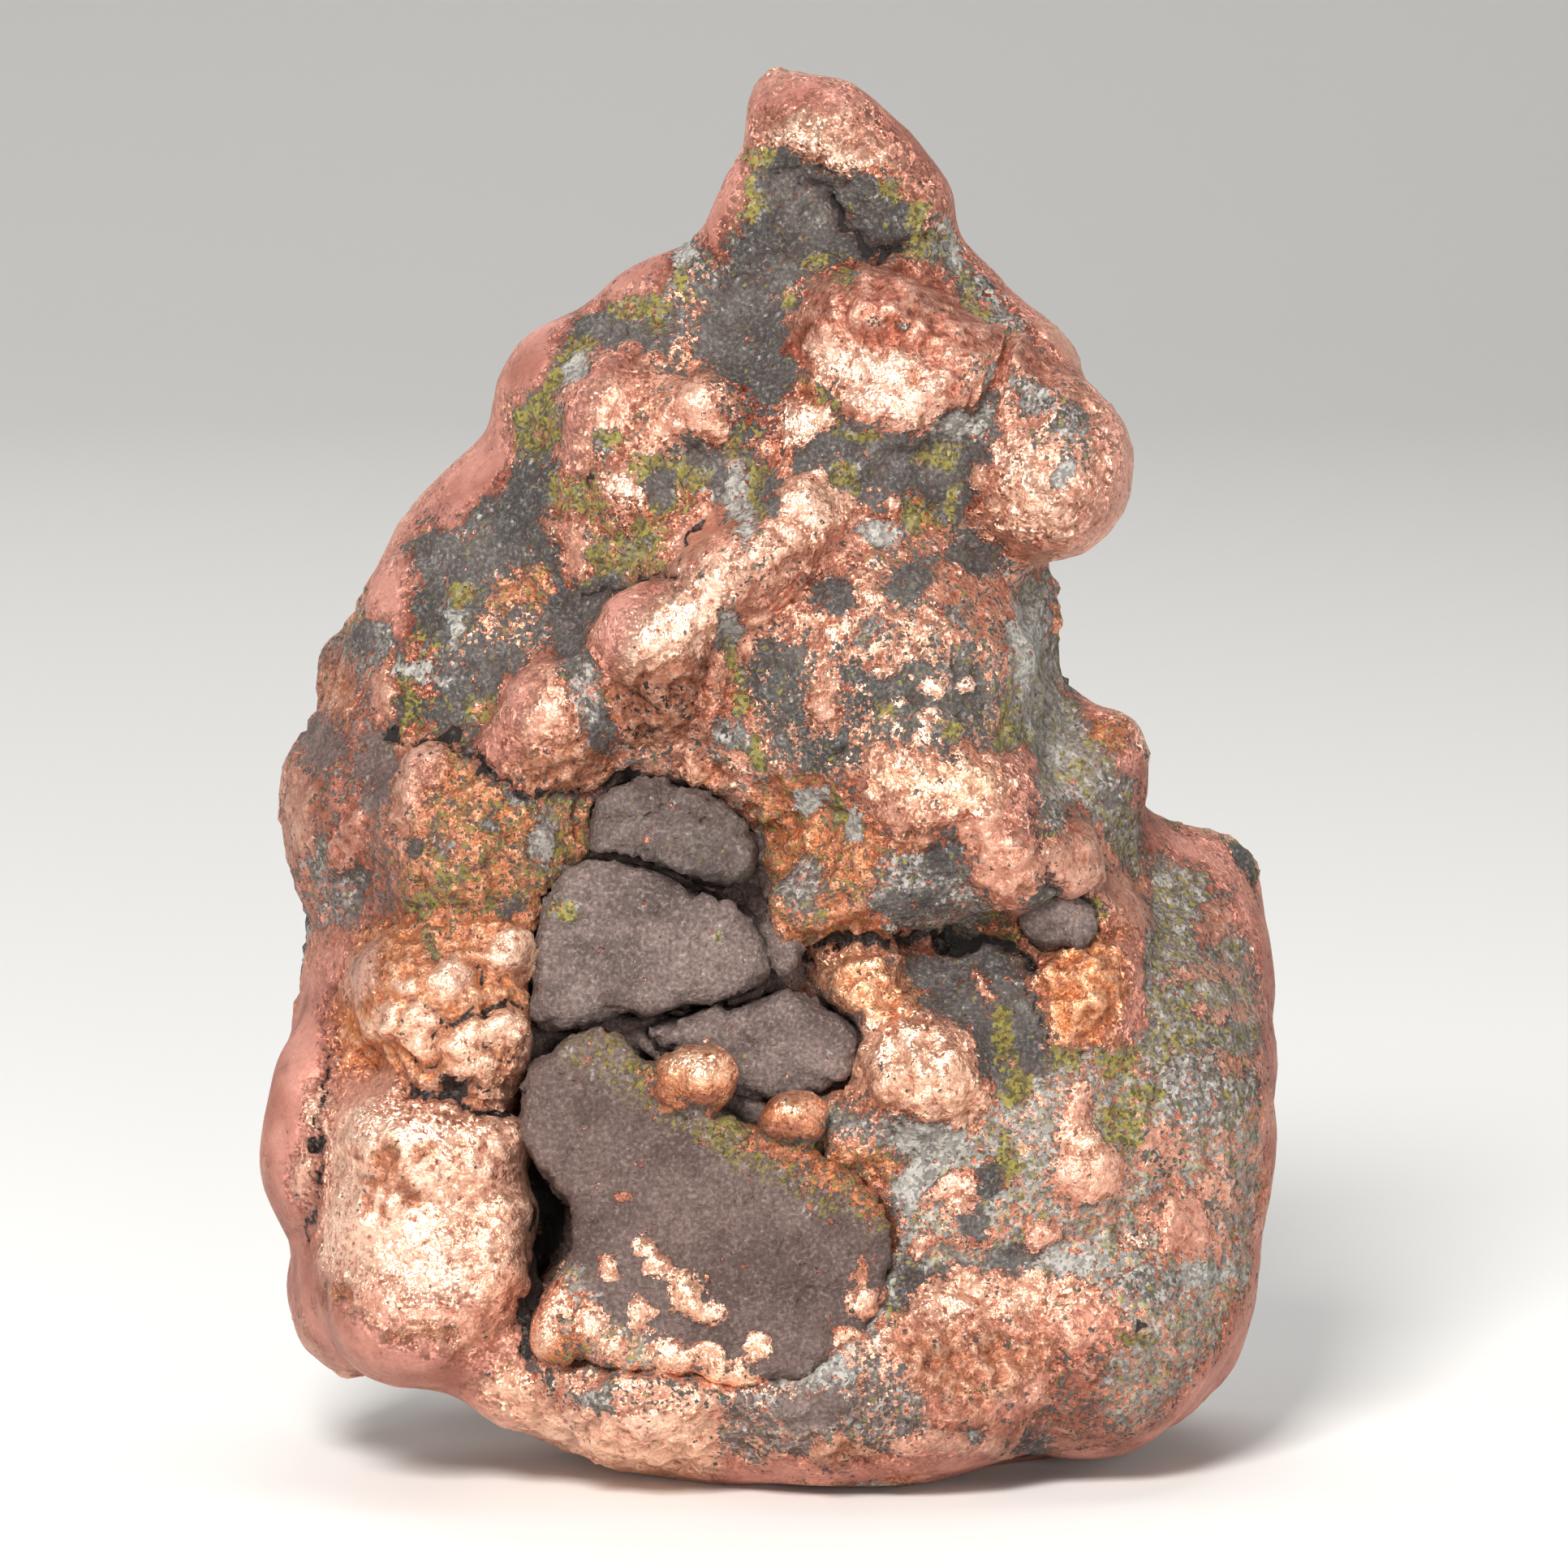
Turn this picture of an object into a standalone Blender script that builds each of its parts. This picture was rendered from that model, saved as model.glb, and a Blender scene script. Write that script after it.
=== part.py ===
"""A native copper nugget that grew round pieces of its host rock.

Blender 4.5, metres, +Z up. The nugget stands on a flat worn foot at z = 0, with its face towards -Y.
It is one grown mass of copper and rock, and loose blocks of basalt are wedged in a pocket in its face.
Run it with blender --background --python part.py, or from the text editor.
"""

import math
import random

import bmesh
import bpy
import numpy as np
from mathutils import Matrix, Vector, noise

MM = 0.001

# The face is laid out as it looks from a little above: across and up lie in that tilted view, and
# depth runs level, away from the viewer. All three are in millimetres.
EYE_TILT = math.radians(7.0)
FOOT_DROP = 1.1  # how far the front edge of the foot shows below the middle of the foot

FUSE_VOXEL = 0.55  # grid on which the lumps grow together
BULK_PASSES = 26  # smoothing of the body before its lumps are added
LUMP_PASSES = 2  # smoothing of the creases between the lumps
SKIN_SWELL = 0.42  # low unevenness of the whole skin
SKIN_PITCH = 3.4
BUMP_COUNT = 130  # small lumps spread over the back, the sides and the top
BUMP_SIZES = (0.9, 2.4)
BUMP_SINK = (0.5, 0.85)  # how far a bump sinks in its own size, at the back and at the edges
BUMP_SEED = 11
MASS_TRIANGLES = 6200
SEAM_WELD = 0.004  # points this close along a cut are one point

SOCKET_GAP = 0.34  # open crack round every loose piece of rock
ROCK_VOXEL = 0.4
ROCK_PASSES = 4
ROCK_RELIEF = 0.18
ROCK_PITCH = 1.9

COPPER = (0.80, 0.38, 0.26)
BASALT = (0.16, 0.14, 0.14)

# Each lump: across, up, depth, half sizes across, deep and high, and lean to the right in degrees.
BULK = {
    "lower_body": (5.0, 11.5, 1.5, 15.2, 13.4, 11.9, 0),
    "upper_body": (3.2, 34.0, 1.5, 8.8, 9.2, 13.4, 0),
    "left_flank": (-11.0, 32.9, 3.0, 7.1, 8.6, 12.6, 26),
    "left_foot": (-13.5, 17.0, 1.5, 6.4, 9.4, 11.4, 0),
    "waist": (-4.0, 24.0, 3.0, 12.0, 10.0, 10.0, 0),
    "face_upper": (2.5, 41.5, -1.2, 7.3, 6.9, 7.0, 0),
    "face_left": (-5.8, 38.5, -0.6, 5.4, 6.2, 6.6, 0),
    "face_middle": (2.0, 33.0, -1.5, 8.8, 8.6, 8.0, 0),
    "face_middle_left": (-6.5, 31.0, -1.0, 6.5, 7.2, 6.5, 0),
    "face_right": (9.0, 15.0, -2.5, 9.0, 8.8, 8.6, 0),
    "pocket_floor": (-3.0, 16.0, -0.5, 8.0, 8.6, 10.0, 0),
    "front_foot": (-2.0, 5.5, -4.0, 9.5, 9.0, 5.6, 0),
    "right_corner": (13.3, 8.2, -1.0, 6.8, 9.8, 6.7, 0),
    "right_flank": (14.6, 14.6, 0.8, 6.3, 10.0, 9.8, 0),
    "right_back": (15.6, 20.0, 5.5, 5.4, 7.2, 7.0, 0),
    "back_high": (1.0, 38.0, 4.8, 7.2, 6.8, 11.4, 4),
    "right_hollow": (9.5, 24.6, 4.0, 7.0, 7.4, 6.0, 0),
    "back_middle": (-7.0, 26.0, 8.0, 9.0, 7.5, 9.5, 0),
    "back_centre": (3.5, 24.5, 7.0, 8.5, 8.0, 8.0, 0),
    "back_low": (2.0, 13.0, 8.5, 14.0, 9.0, 12.0, 0),
}
LUMPS = {
    # the crown
    "crown_tip": (0.9, 55.7, -0.8, 1.95, 2.4, 2.0, 0),
    "crown_arch": (2.4, 55.4, -0.6, 2.3, 2.9, 2.3, 0),
    "crown_slope": (4.1, 53.7, -0.4, 2.4, 3.1, 2.4, 0),
    "crown_end": (5.4, 51.9, 0.0, 2.2, 3.0, 2.6, 0),
    "crown_strip": (-0.9, 51.4, -0.6, 1.7, 2.6, 3.7, 20),
    "crown_core": (2.2, 51.0, 1.9, 3.8, 3.6, 4.4, 0),
    "head": (2.0, 46.5, 0.8, 5.2, 5.4, 5.5, 0),
    # the shoulders
    "shoulder_left_high": (-4.3, 47.0, 1.0, 3.3, 4.6, 4.5, 60),
    "shoulder_left_low": (-7.9, 44.0, 1.2, 3.5, 4.6, 3.8, 0),
    "shoulder_right_high": (7.6, 48.0, 0.6, 2.5, 3.4, 2.9, -30),
    "shoulder_right_low": (9.6, 45.0, 0.0, 3.2, 4.0, 3.2, 0),
    "side_knob": (11.1, 41.6, -4.6, 3.7, 4.6, 3.8, 0),
    "side_knob_top": (11.1, 43.0, -2.8, 2.6, 3.8, 2.3, 0),
    # lumps of the upper face
    "brow": (4.4, 46.7, -5.0, 3.6, 3.1, 2.9, 0),
    "brow_low": (4.9, 44.2, -6.6, 2.7, 2.6, 1.9, 0),
    "brow_side": (8.3, 43.6, -4.2, 2.9, 2.8, 2.5, 0),
    "brow_bead": (1.6, 43.0, -6.6, 1.6, 1.5, 1.1, 0),
    "cheek_left": (-6.6, 43.2, -3.9, 2.3, 3.1, 3.2, 0),
    "cheek_bead": (-2.8, 43.8, -5.6, 1.9, 2.1, 1.6, 0),
    "cheek_low": (-5.2, 40.2, -5.6, 2.1, 2.0, 2.2, 0),
    "ridge_low": (-4.9, 34.9, -9.0, 2.2, 3.1, 2.6, 50),
    "ridge_mid": (-2.4, 36.9, -9.1, 1.8, 2.6, 2.8, 50),
    "ridge_high": (0.5, 38.8, -8.6, 1.5, 2.1, 2.6, 55),
    "under_ridge": (-3.8, 32.4, -7.4, 2.9, 2.8, 2.5, 0),
    "belly": (4.6, 32.6, -3.9, 6.6, 7.8, 7.2, 0),
    "belly_lip": (7.0, 28.7, -8.4, 3.9, 4.2, 2.3, 0),
    "belly_lip_end": (9.4, 26.4, -7.4, 2.7, 4.4, 3.1, 0),
    "belly_bead": (12.2, 25.6, -6.8, 1.8, 2.3, 1.7, 0),
    "belly_low": (4.4, 25.2, -6.0, 5.0, 5.0, 2.8, 0),
    "hip": (11.6, 27.8, 1.0, 3.9, 6.0, 4.4, 0),
    # the left side
    "flank_lobe": (-8.8, 31.2, -8.0, 2.5, 2.7, 2.8, 0),
    "flank_bead": (-13.8, 28.6, -6.6, 2.1, 2.2, 2.1, 0),
    "flank_crust": (-11.6, 26.0, -6.2, 4.6, 4.0, 4.2, 0),
    "flank_bulge": (-15.4, 27.2, 1.5, 4.9, 7.2, 6.2, 0),
    "left_neck": (-14.6, 21.4, -1.0, 4.1, 7.0, 3.6, 0),
    "crumb_mass": (-13.2, 20.2, -8.0, 3.7, 3.8, 3.0, 0),
    "crumb_ledge": (-12.2, 18.0, -9.4, 2.7, 2.8, 1.9, 0),
    "crumb_tip": (-11.2, 21.8, -8.8, 1.6, 2.4, 1.5, 0),
    "pillar_top": (-13.9, 13.6, -8.6, 3.6, 4.8, 3.7, 0),
    "pillar_middle": (-14.1, 11.0, -8.7, 3.8, 5.0, 4.2, 0),
    "pillar_low": (-14.2, 8.3, -8.6, 4.2, 5.0, 4.4, 0),
    "side_lobe": (-18.3, 14.2, -3.5, 2.6, 4.6, 4.8, 0),
    "side_fold": (-17.2, 8.6, -3.0, 2.5, 5.5, 4.4, 0),
    # the lower body
    "front_rim": (-5.3, 4.8, -8.5, 5.9, 5.5, 3.5, 20),
    "rim_corner": (-10.4, 5.0, -7.4, 2.7, 4.6, 2.5, 30),
    "front_base": (3.5, 5.0, -7.0, 9.5, 7.2, 5.0, 0),
    "corner_front": (12.4, 6.4, -5.2, 6.2, 6.6, 5.4, 0),
    "back_lobe": (16.4, 20.6, 6.5, 4.4, 6.0, 6.2, 0),
    "pebble_bed": (12.2, 22.7, -3.6, 3.4, 4.0, 2.6, 0),
    # the back
    "back_crest_low": (5.0, 20.5, 14.2, 5.0, 3.4, 3.8, 35),
    "back_crest_mid": (0.5, 28.0, 11.8, 3.8, 3.8, 5.2, -30),
    "back_crest_high": (-3.0, 36.0, 10.4, 3.6, 3.0, 5.2, -20),
    "back_knob_left": (-10.5, 18.0, 12.6, 4.2, 3.2, 3.8, 0),
    "back_knob_right": (11.5, 10.0, 13.0, 4.6, 3.4, 4.2, 0),
    "back_knob_high": (4.2, 43.0, 8.6, 3.4, 2.8, 3.4, 0),
    "back_rim": (-3.0, 7.0, 14.2, 6.5, 3.0, 3.2, 10),
    # the lower right
    "spur": (12.6, 20.2, -6.2, 2.6, 3.7, 2.9, 0),
    "knob_low": (6.0, 17.0, -10.0, 3.0, 2.9, 2.5, 0),
    "knob_low_top": (3.7, 20.4, -8.6, 2.0, 2.2, 1.6, 0),
    "knob_low_right": (12.9, 12.6, -8.6, 2.2, 2.3, 2.0, 0),
    "knob_low_edge": (16.0, 9.6, -6.4, 2.3, 2.4, 2.2, 0),
}


# Hollows sunk in the finished skin, written like the lumps.
HOLLOWS = {
    "side_hole": (-18.6, 13.9, -6.6, 0.6, 2.2, 0.7, 0),
    "pillar_pit": (-12.8, 15.9, -12.6, 1.6, 1.3, 0.5, -10),
    "flank_pit_left": (-15.5, 30.4, -6.6, 0.9, 1.6, 0.5, 0),
    "flank_pit_right": (-13.2, 30.6, -7.4, 0.8, 1.5, 0.5, 0),
    "slab_shadow": (-7.6, 28.9, -9.0, 1.7, 1.8, 0.5, -8),
    "ridge_crease": (-4.6, 37.3, -9.4, 1.7, 1.4, 0.4, -15),
}

# Clefts: outline in across and up, then the depths of the open mouth and of the narrow end.
CLEFTS = {
    "beside_pillar": (
        [(-10.4, 14.2), (-9.5, 13.2), (-8.3, 11.5), (-8.0, 10.3), (-8.5, 9.1)]
        + [(-9.4, 7.4), (-9.9, 5.2), (-10.4, 5.1)],
        -17.0,
        -4.0,
    ),
    "under_belly": (
        [(1.6, 22.2), (5.0, 22.0), (8.4, 22.35), (10.4, 22.1)]
        + [(10.4, 22.7), (8.4, 22.95), (5.0, 22.55), (1.7, 22.55)],
        -14.5,
        -5.0,
    ),
}

# Loose pieces of rock: outline in across and up, then the depth of the middle of the front, how
# much deeper it gets per millimetre across and up, the depth of the back, and the triangle count.
ROCKS = {
    "pocket_slab": (
        [(-7.0, 27.9), (-5.4, 28.7), (-3.0, 28.3), (-0.9, 26.9), (-0.6, 25.4)]
        + [(-1.7, 24.7), (-3.1, 25.1), (-5.1, 26.1), (-7.3, 26.2)],
        (-9.4, 0.05, 0.35),
        -4.6,
        260,
    ),
    "pocket_block_middle": (
        [(-8.9, 24.2), (-7.8, 25.5), (-5.3, 25.3), (-3.2, 24.2), (-1.6, 23.7), (-0.3, 22.3)]
        + [(-0.1, 20.6), (-1.6, 20.1), (-5.0, 19.5), (-6.6, 19.6), (-8.6, 18.6)]
        + [(-9.7, 19.4), (-9.4, 22.4)],
        (-9.5, 0.02, 0.12),
        -4.2,
        360,
    ),
    "pocket_block_right": (
        [(-5.1, 18.7), (-3.0, 19.1), (-1.4, 19.4), (0.5, 20.1), (1.4, 20.0)]
        + [(3.0, 19.0), (3.7, 18.1), (3.1, 17.2), (2.6, 16.5), (0.3, 16.0), (-1.7, 16.5), (-3.7, 17.6)],
        (-9.9, -0.08, 0.1),
        -4.6,
        260,
    ),
    "pocket_block_low": (
        [(-9.8, 17.1), (-8.3, 18.2), (-6.8, 18.7), (-5.7, 18.0), (-4.1, 16.5), (-1.7, 15.1)]
        + [(1.0, 14.1), (3.3, 12.9), (4.7, 11.0), (4.5, 8.1), (3.6, 6.1), (1.7, 4.9), (-0.4, 4.6)]
        + [(-3.5, 5.2), (-7.0, 5.4), (-9.6, 5.9), (-9.1, 7.6), (-8.0, 9.2), (-7.6, 10.4)]
        + [(-8.1, 12.0), (-9.3, 13.4), (-9.9, 14.6)],
        (-12.3, 0.02, 0.22),
        -5.4,
        640,
    ),
    "pocket_chip": (
        [(-0.5, 23.2), (0.8, 22.8), (1.1, 21.6), (0.4, 21.0), (0.1, 22.0)],
        (-9.3, 0.0, 0.1),
        -7.0,
        60,
    ),
    "rim_pebble": (
        [(10.2, 23.0), (10.6, 23.9), (11.7, 24.2), (12.9, 23.8), (13.2, 23.0), (12.6, 22.2)]
        + [(11.3, 22.0)],
        (-8.5, 0.1, 0.0),
        -6.2,
        100,
    ),
}
# Copper beads grown on the upper edge of the low block.
BEADS = {
    "bead_left": (-3.0, 16.7, -11.4, 1.5, 1.1, 1.15, 0),
    "bead_right": (1.0, 15.1, -11.6, 1.15, 1.0, 0.9, 0),
}


def place(across, up, depth):
    """A point of the face's layout in the object's own axes, in millimetres."""
    level = (up - FOOT_DROP) / math.cos(EYE_TILT) - depth * math.tan(EYE_TILT)
    return Vector((across, depth, level))


def clear_scene():
    for obj in list(bpy.data.objects):
        bpy.data.objects.remove(obj)


def collection(name):
    made = bpy.data.collections.new(name)
    bpy.context.scene.collection.children.link(made)
    return made


def finish(name, colour, roughness, metallic):
    made = bpy.data.materials.new(name)
    made.use_nodes = True
    shader = made.node_tree.nodes["Principled BSDF"]
    shader.inputs["Base Color"].default_value = (*colour, 1.0)
    shader.inputs["Roughness"].default_value = roughness
    shader.inputs["Metallic"].default_value = metallic
    return made


def object_from(mesh_maker, name, home):
    """A new object whose mesh mesh_maker fills, working in millimetres."""
    work = bmesh.new()
    mesh_maker(work)
    work.transform(Matrix.Scale(MM, 4))
    mesh = bpy.data.meshes.new(name)
    work.to_mesh(mesh)
    work.free()
    made = bpy.data.objects.new(name, mesh)
    home.objects.link(made)
    return made


def bake_modifiers(obj):
    """Applies the object's modifiers to its mesh."""
    bpy.context.view_layer.update()
    seen = obj.evaluated_get(bpy.context.evaluated_depsgraph_get())
    mesh = bpy.data.meshes.new_from_object(seen)
    obj.modifiers.clear()
    obj.data = mesh


def add_lump(work, centre, half_sizes, lean=0.0, segments=3):
    shape = (
        Matrix.Translation(centre)
        @ Matrix.Rotation(math.radians(lean), 4, "Y")
        @ Matrix.Diagonal((*half_sizes, 1.0))
    )
    bmesh.ops.create_icosphere(work, subdivisions=segments, radius=1.0, matrix=shape)


def add_lumps(work, table):
    for across, up, depth, wide, deep, high, lean in table.values():
        add_lump(work, place(across, up, depth), (wide, deep, high), lean)


def fuse(obj, passes):
    """Grows everything in the object's mesh together and softens the creases."""
    remesh = obj.modifiers.new("grow_together", "REMESH")
    remesh.mode = "VOXEL"
    remesh.voxel_size = FUSE_VOXEL * MM
    soften = obj.modifiers.new("soften", "SMOOTH")
    soften.factor = 0.5
    soften.iterations = passes
    bake_modifiers(obj)


def add_to(obj, mesh_maker):
    """Puts more lumps, made in millimetres, into the object's mesh."""
    more = bmesh.new()
    mesh_maker(more)
    more.transform(Matrix.Scale(MM, 4))
    extra = bpy.data.meshes.new("extra")
    more.to_mesh(extra)
    more.free()
    work = bmesh.new()
    work.from_mesh(obj.data)
    work.from_mesh(extra)
    work.to_mesh(obj.data)
    work.free()
    bpy.data.meshes.remove(extra)


def is_face(point):
    """Whether a point of the skin, in millimetres, belongs to the face, which has its own lumps."""
    return point.y < -1.0


def is_broad(point, outward):
    """Whether a bump at this point of the skin leaves the crown and the shoulders slim."""
    return point.z < 36.0 or outward.y > 0.45


def spread_bumps(obj):
    """Small lumps, half sunk in the skin behind the face and deeper where they meet its outline."""
    chance = random.Random(BUMP_SEED)
    spots = [(v.co / MM, v.normal.copy()) for v in obj.data.vertices]
    spots = [s for s in spots if not is_face(s[0]) and s[0].z > 2.0 and is_broad(*s)]

    def bumps(work):
        for spot, outward in chance.sample(spots, BUMP_COUNT):
            size = chance.uniform(*BUMP_SIZES)
            half_sizes = [size * chance.uniform(0.75, 1.35) for _ in range(3)]
            edge = 1.0 - min(1.0, abs(outward.y) * 1.6)
            sink = BUMP_SINK[0] + (BUMP_SINK[1] - BUMP_SINK[0]) * edge
            add_lump(work, spot - outward * size * sink, half_sizes, chance.uniform(-60, 60), 2)

    add_to(obj, bumps)


def swell(obj, height, pitch):
    """Low unevenness, so that no lump is a true ellipsoid."""
    normals = [v.normal.copy() for v in obj.data.vertices]
    for vertex, normal in zip(obj.data.vertices, normals):
        where = vertex.co / (pitch * MM)
        lift = noise.noise(where) + 0.5 * noise.noise(where * 2.3)
        vertex.co += normal * (height * MM * lift)


def cut(obj, cutter, may_cross=False):
    """Cuts the cutter, whose skin may cross itself, out of the object."""
    boolean = obj.modifiers.new("cut", "BOOLEAN")
    boolean.operation = "DIFFERENCE"
    boolean.solver = "EXACT"
    boolean.use_self = may_cross
    boolean.object = cutter
    bake_modifiers(obj)


def thin_out(obj, triangles):
    """Brings the object's mesh down to a number of triangles."""
    bpy.context.view_layer.update()
    decimate = obj.modifiers.new("thin_out", "DECIMATE")
    decimate.use_collapse_triangulate = True
    obj.data.calc_loop_triangles()
    decimate.ratio = triangles / len(obj.data.loop_triangles)
    bake_modifiers(obj)


def add_prism(work, mouth, mouth_depths, end, end_depths):
    """A closed block between two outlines with the same number of points."""
    count = len(mouth)
    near = [work.verts.new(place(*spot, depth)) for spot, depth in zip(mouth, mouth_depths)]
    far = [work.verts.new(place(*spot, depth)) for spot, depth in zip(end, end_depths)]
    work.faces.new(near)
    work.faces.new(far[::-1])
    for i in range(count):
        j = (i + 1) % count
        work.faces.new((near[j], near[i], far[i], far[j]))
    bmesh.ops.recalc_face_normals(work, faces=work.faces)


def shrink(outline, share):
    """The outline drawn in towards its middle."""
    middle = np.mean(outline, axis=0)
    return [tuple(middle + (np.array(spot) - middle) * share) for spot in outline]


def make_cleft(name, home):
    outline, mouth_depth, end_depth = CLEFTS[name]
    count = len(outline)
    end = shrink(outline, 0.55)

    def fill(work):
        add_prism(work, outline, [mouth_depth] * count, end, [end_depth] * count)

    return object_from(fill, "cutter_" + name, home)


def make_rock(name, home):
    """One loose piece of rock, rounded and uneven."""
    outline, (middle_depth, per_across, per_up), back, triangles = ROCKS[name]
    middle = np.mean(outline, axis=0)
    fronts = [
        middle_depth + per_across * (across - middle[0]) + per_up * (up - middle[1])
        for across, up in outline
    ]

    def fill(work):
        add_prism(work, outline, fronts, shrink(outline, 0.9), [back] * len(outline))
        if name == "pocket_block_low":
            add_lumps(work, BEADS)

    rock = object_from(fill, name, home)
    remesh = rock.modifiers.new("round_off", "REMESH")
    remesh.mode = "VOXEL"
    remesh.voxel_size = ROCK_VOXEL * MM
    soften = rock.modifiers.new("soften", "SMOOTH")
    soften.factor = 0.5
    soften.iterations = ROCK_PASSES
    bake_modifiers(rock)
    swell(rock, ROCK_RELIEF, ROCK_PITCH)
    thin_out(rock, triangles)
    return rock


def clean_seams(obj):
    """Closes up the slivers that the cuts leave along their edges."""
    work = bmesh.new()
    work.from_mesh(obj.data)
    bmesh.ops.triangulate(work, faces=work.faces)
    bmesh.ops.remove_doubles(work, verts=work.verts, dist=SEAM_WELD * MM)
    bmesh.ops.dissolve_degenerate(work, edges=work.edges, dist=SEAM_WELD * MM)
    bmesh.ops.triangulate(work, faces=work.faces)
    work.to_mesh(obj.data)
    work.free()


def make_socket(rock, home):
    """The rock's own shape grown by the gap, to cut the place it sits in."""
    socket = bpy.data.objects.new("cutter_" + rock.name, rock.data.copy())
    home.objects.link(socket)
    normals = [v.normal.copy() for v in socket.data.vertices]
    for vertex, normal in zip(socket.data.vertices, normals):
        vertex.co += normal * (SOCKET_GAP * MM)
    return socket


def make_ground(home):
    """The level surface that the foot was worn down on."""

    def fill(work):
        bmesh.ops.create_cube(work, size=1.0, matrix=Matrix.Diagonal((120.0, 120.0, 20.0, 1.0)))
        bmesh.ops.translate(work, verts=work.verts, vec=(0.0, 0.0, -10.0))

    return object_from(fill, "cutter_ground", home)


def make_mass(home, cutters):
    mass = object_from(lambda work: add_lumps(work, BULK), "copper_nugget", home)
    fuse(mass, BULK_PASSES)
    add_to(mass, lambda work: add_lumps(work, LUMPS))
    fuse(mass, 1)
    spread_bumps(mass)
    fuse(mass, LUMP_PASSES)
    swell(mass, SKIN_SWELL, SKIN_PITCH)
    for name, values in HOLLOWS.items():
        cut(mass, object_from(lambda work: add_lumps(work, {name: values}), "cutter_" + name, cutters))
    fuse(mass, 1)
    thin_out(mass, MASS_TRIANGLES)
    for name in CLEFTS:
        cut(mass, make_cleft(name, cutters))
    cut(mass, make_ground(cutters))
    return mass


def settle(objects):
    """Centres the whole object over the origin, still standing on z = 0."""
    corners = np.array([v.co for obj in objects for v in obj.data.vertices])
    middle = (corners.min(axis=0) + corners.max(axis=0)) / 2
    for obj in objects:
        obj.data.transform(Matrix.Translation((-middle[0], -middle[1], 0.0)))


def main():
    clear_scene()
    bpy.context.scene.unit_settings.system = "METRIC"
    home = collection("copper_nugget_with_host_rock")
    cutters = collection("cutters")
    mass = make_mass(home, cutters)
    mass.data.materials.append(finish("copper", COPPER, 0.4, 1.0))
    for name in ROCKS:
        rock = make_rock(name, home)
        rock.data.materials.append(finish(name + "_basalt", BASALT, 0.85, 0.0))
        cut(mass, make_socket(rock, cutters), True)
    clean_seams(mass)
    settle(home.objects)
    for cutter in cutters.objects:
        cutter.hide_render = True
        cutter.display_type = "WIRE"


main()
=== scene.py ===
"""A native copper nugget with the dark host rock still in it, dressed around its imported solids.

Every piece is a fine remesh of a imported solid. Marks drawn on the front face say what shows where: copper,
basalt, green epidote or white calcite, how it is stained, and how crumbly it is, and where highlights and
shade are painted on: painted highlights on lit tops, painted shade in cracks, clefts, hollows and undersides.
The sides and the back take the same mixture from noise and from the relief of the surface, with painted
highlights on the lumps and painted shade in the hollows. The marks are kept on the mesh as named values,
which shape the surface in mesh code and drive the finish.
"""

import math

import bmesh
import bpy
import numpy as np
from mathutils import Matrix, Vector, noise


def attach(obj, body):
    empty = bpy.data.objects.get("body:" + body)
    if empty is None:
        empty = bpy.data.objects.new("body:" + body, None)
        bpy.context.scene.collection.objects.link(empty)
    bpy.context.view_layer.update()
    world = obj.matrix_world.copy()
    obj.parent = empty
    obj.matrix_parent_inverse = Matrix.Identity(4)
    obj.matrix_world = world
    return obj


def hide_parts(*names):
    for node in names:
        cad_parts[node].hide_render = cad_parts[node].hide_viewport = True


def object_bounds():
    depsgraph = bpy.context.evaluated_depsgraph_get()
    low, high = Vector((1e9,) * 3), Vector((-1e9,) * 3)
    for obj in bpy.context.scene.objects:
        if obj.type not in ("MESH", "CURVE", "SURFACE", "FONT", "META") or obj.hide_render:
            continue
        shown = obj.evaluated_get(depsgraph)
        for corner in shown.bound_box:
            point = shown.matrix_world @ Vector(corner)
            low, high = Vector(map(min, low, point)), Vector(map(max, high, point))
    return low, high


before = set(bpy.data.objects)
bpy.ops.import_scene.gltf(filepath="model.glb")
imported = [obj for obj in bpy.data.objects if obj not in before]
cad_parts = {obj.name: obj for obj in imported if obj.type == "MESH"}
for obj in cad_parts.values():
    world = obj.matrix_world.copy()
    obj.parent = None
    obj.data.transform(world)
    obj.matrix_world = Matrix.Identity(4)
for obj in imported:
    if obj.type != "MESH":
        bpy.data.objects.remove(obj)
CAD_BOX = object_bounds()

MM = 0.001

# The view of the front face, in metres. The face is marked in steps: 1932 across and down, 30 to the
# millimetre at the middle of the nugget.
EYE_TILT = math.radians(7.0)
EYE_TARGET = Vector((0.0005, -0.00205, 0.0278))
EYE_DISTANCE = 0.537
EYE_LENS = 300.0
FILM = 36.0
FACE_STEPS = 1932
TO_EYE = Vector((0.0, -math.cos(EYE_TILT), math.sin(EYE_TILT)))
FACE_UP = Vector((0.0, math.sin(EYE_TILT), math.cos(EYE_TILT)))

# Fineness of the pieces, in mm, and how far the rocks grow past their solids.
SKIN_GRID = 0.43
ROCK_GRID = 0.2
ROCK_GROWTH = 0.2
WELD = 0.001

# How often each smoothing is passed over a mesh, and how strong the last one on the front is.
POLISH_PASSES = 5
ROCK_POLISH = 7
RELIEF_PASSES = 45
GAP_PASSES = 5
SOFTENING_PASSES = 2
SOFTENING = 0.5

# The front is made finer where it faces the eye more than this, from 0 to 1. The smooth rims and the
# pocket's bed stay coarse this far inside their outlines, in face steps.
FINE_FACING = 0.35
PLAIN_INSET = 14.0

# How far a smooth rim calms the relief and the specks on it.
RIM_CALM = 0.75

# Brings the height of a tilted face to about -1 to 1.
TILT_GAIN = 1.6

# Stand-ins for an endless and for a vanishing length.
ENDLESS = 1e9
VANISHING = 1e-9

# What can vary over the surface, each from 0 to 1. The fifth is a painted highlight in the colour and a
# polish in the roughness; the last is real dirt and stain together with painted shade.
TRAITS = ("copper", "olive", "chalk", "rust", "glow", "rim", "gold", "brown", "crumb", "dirt")


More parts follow.
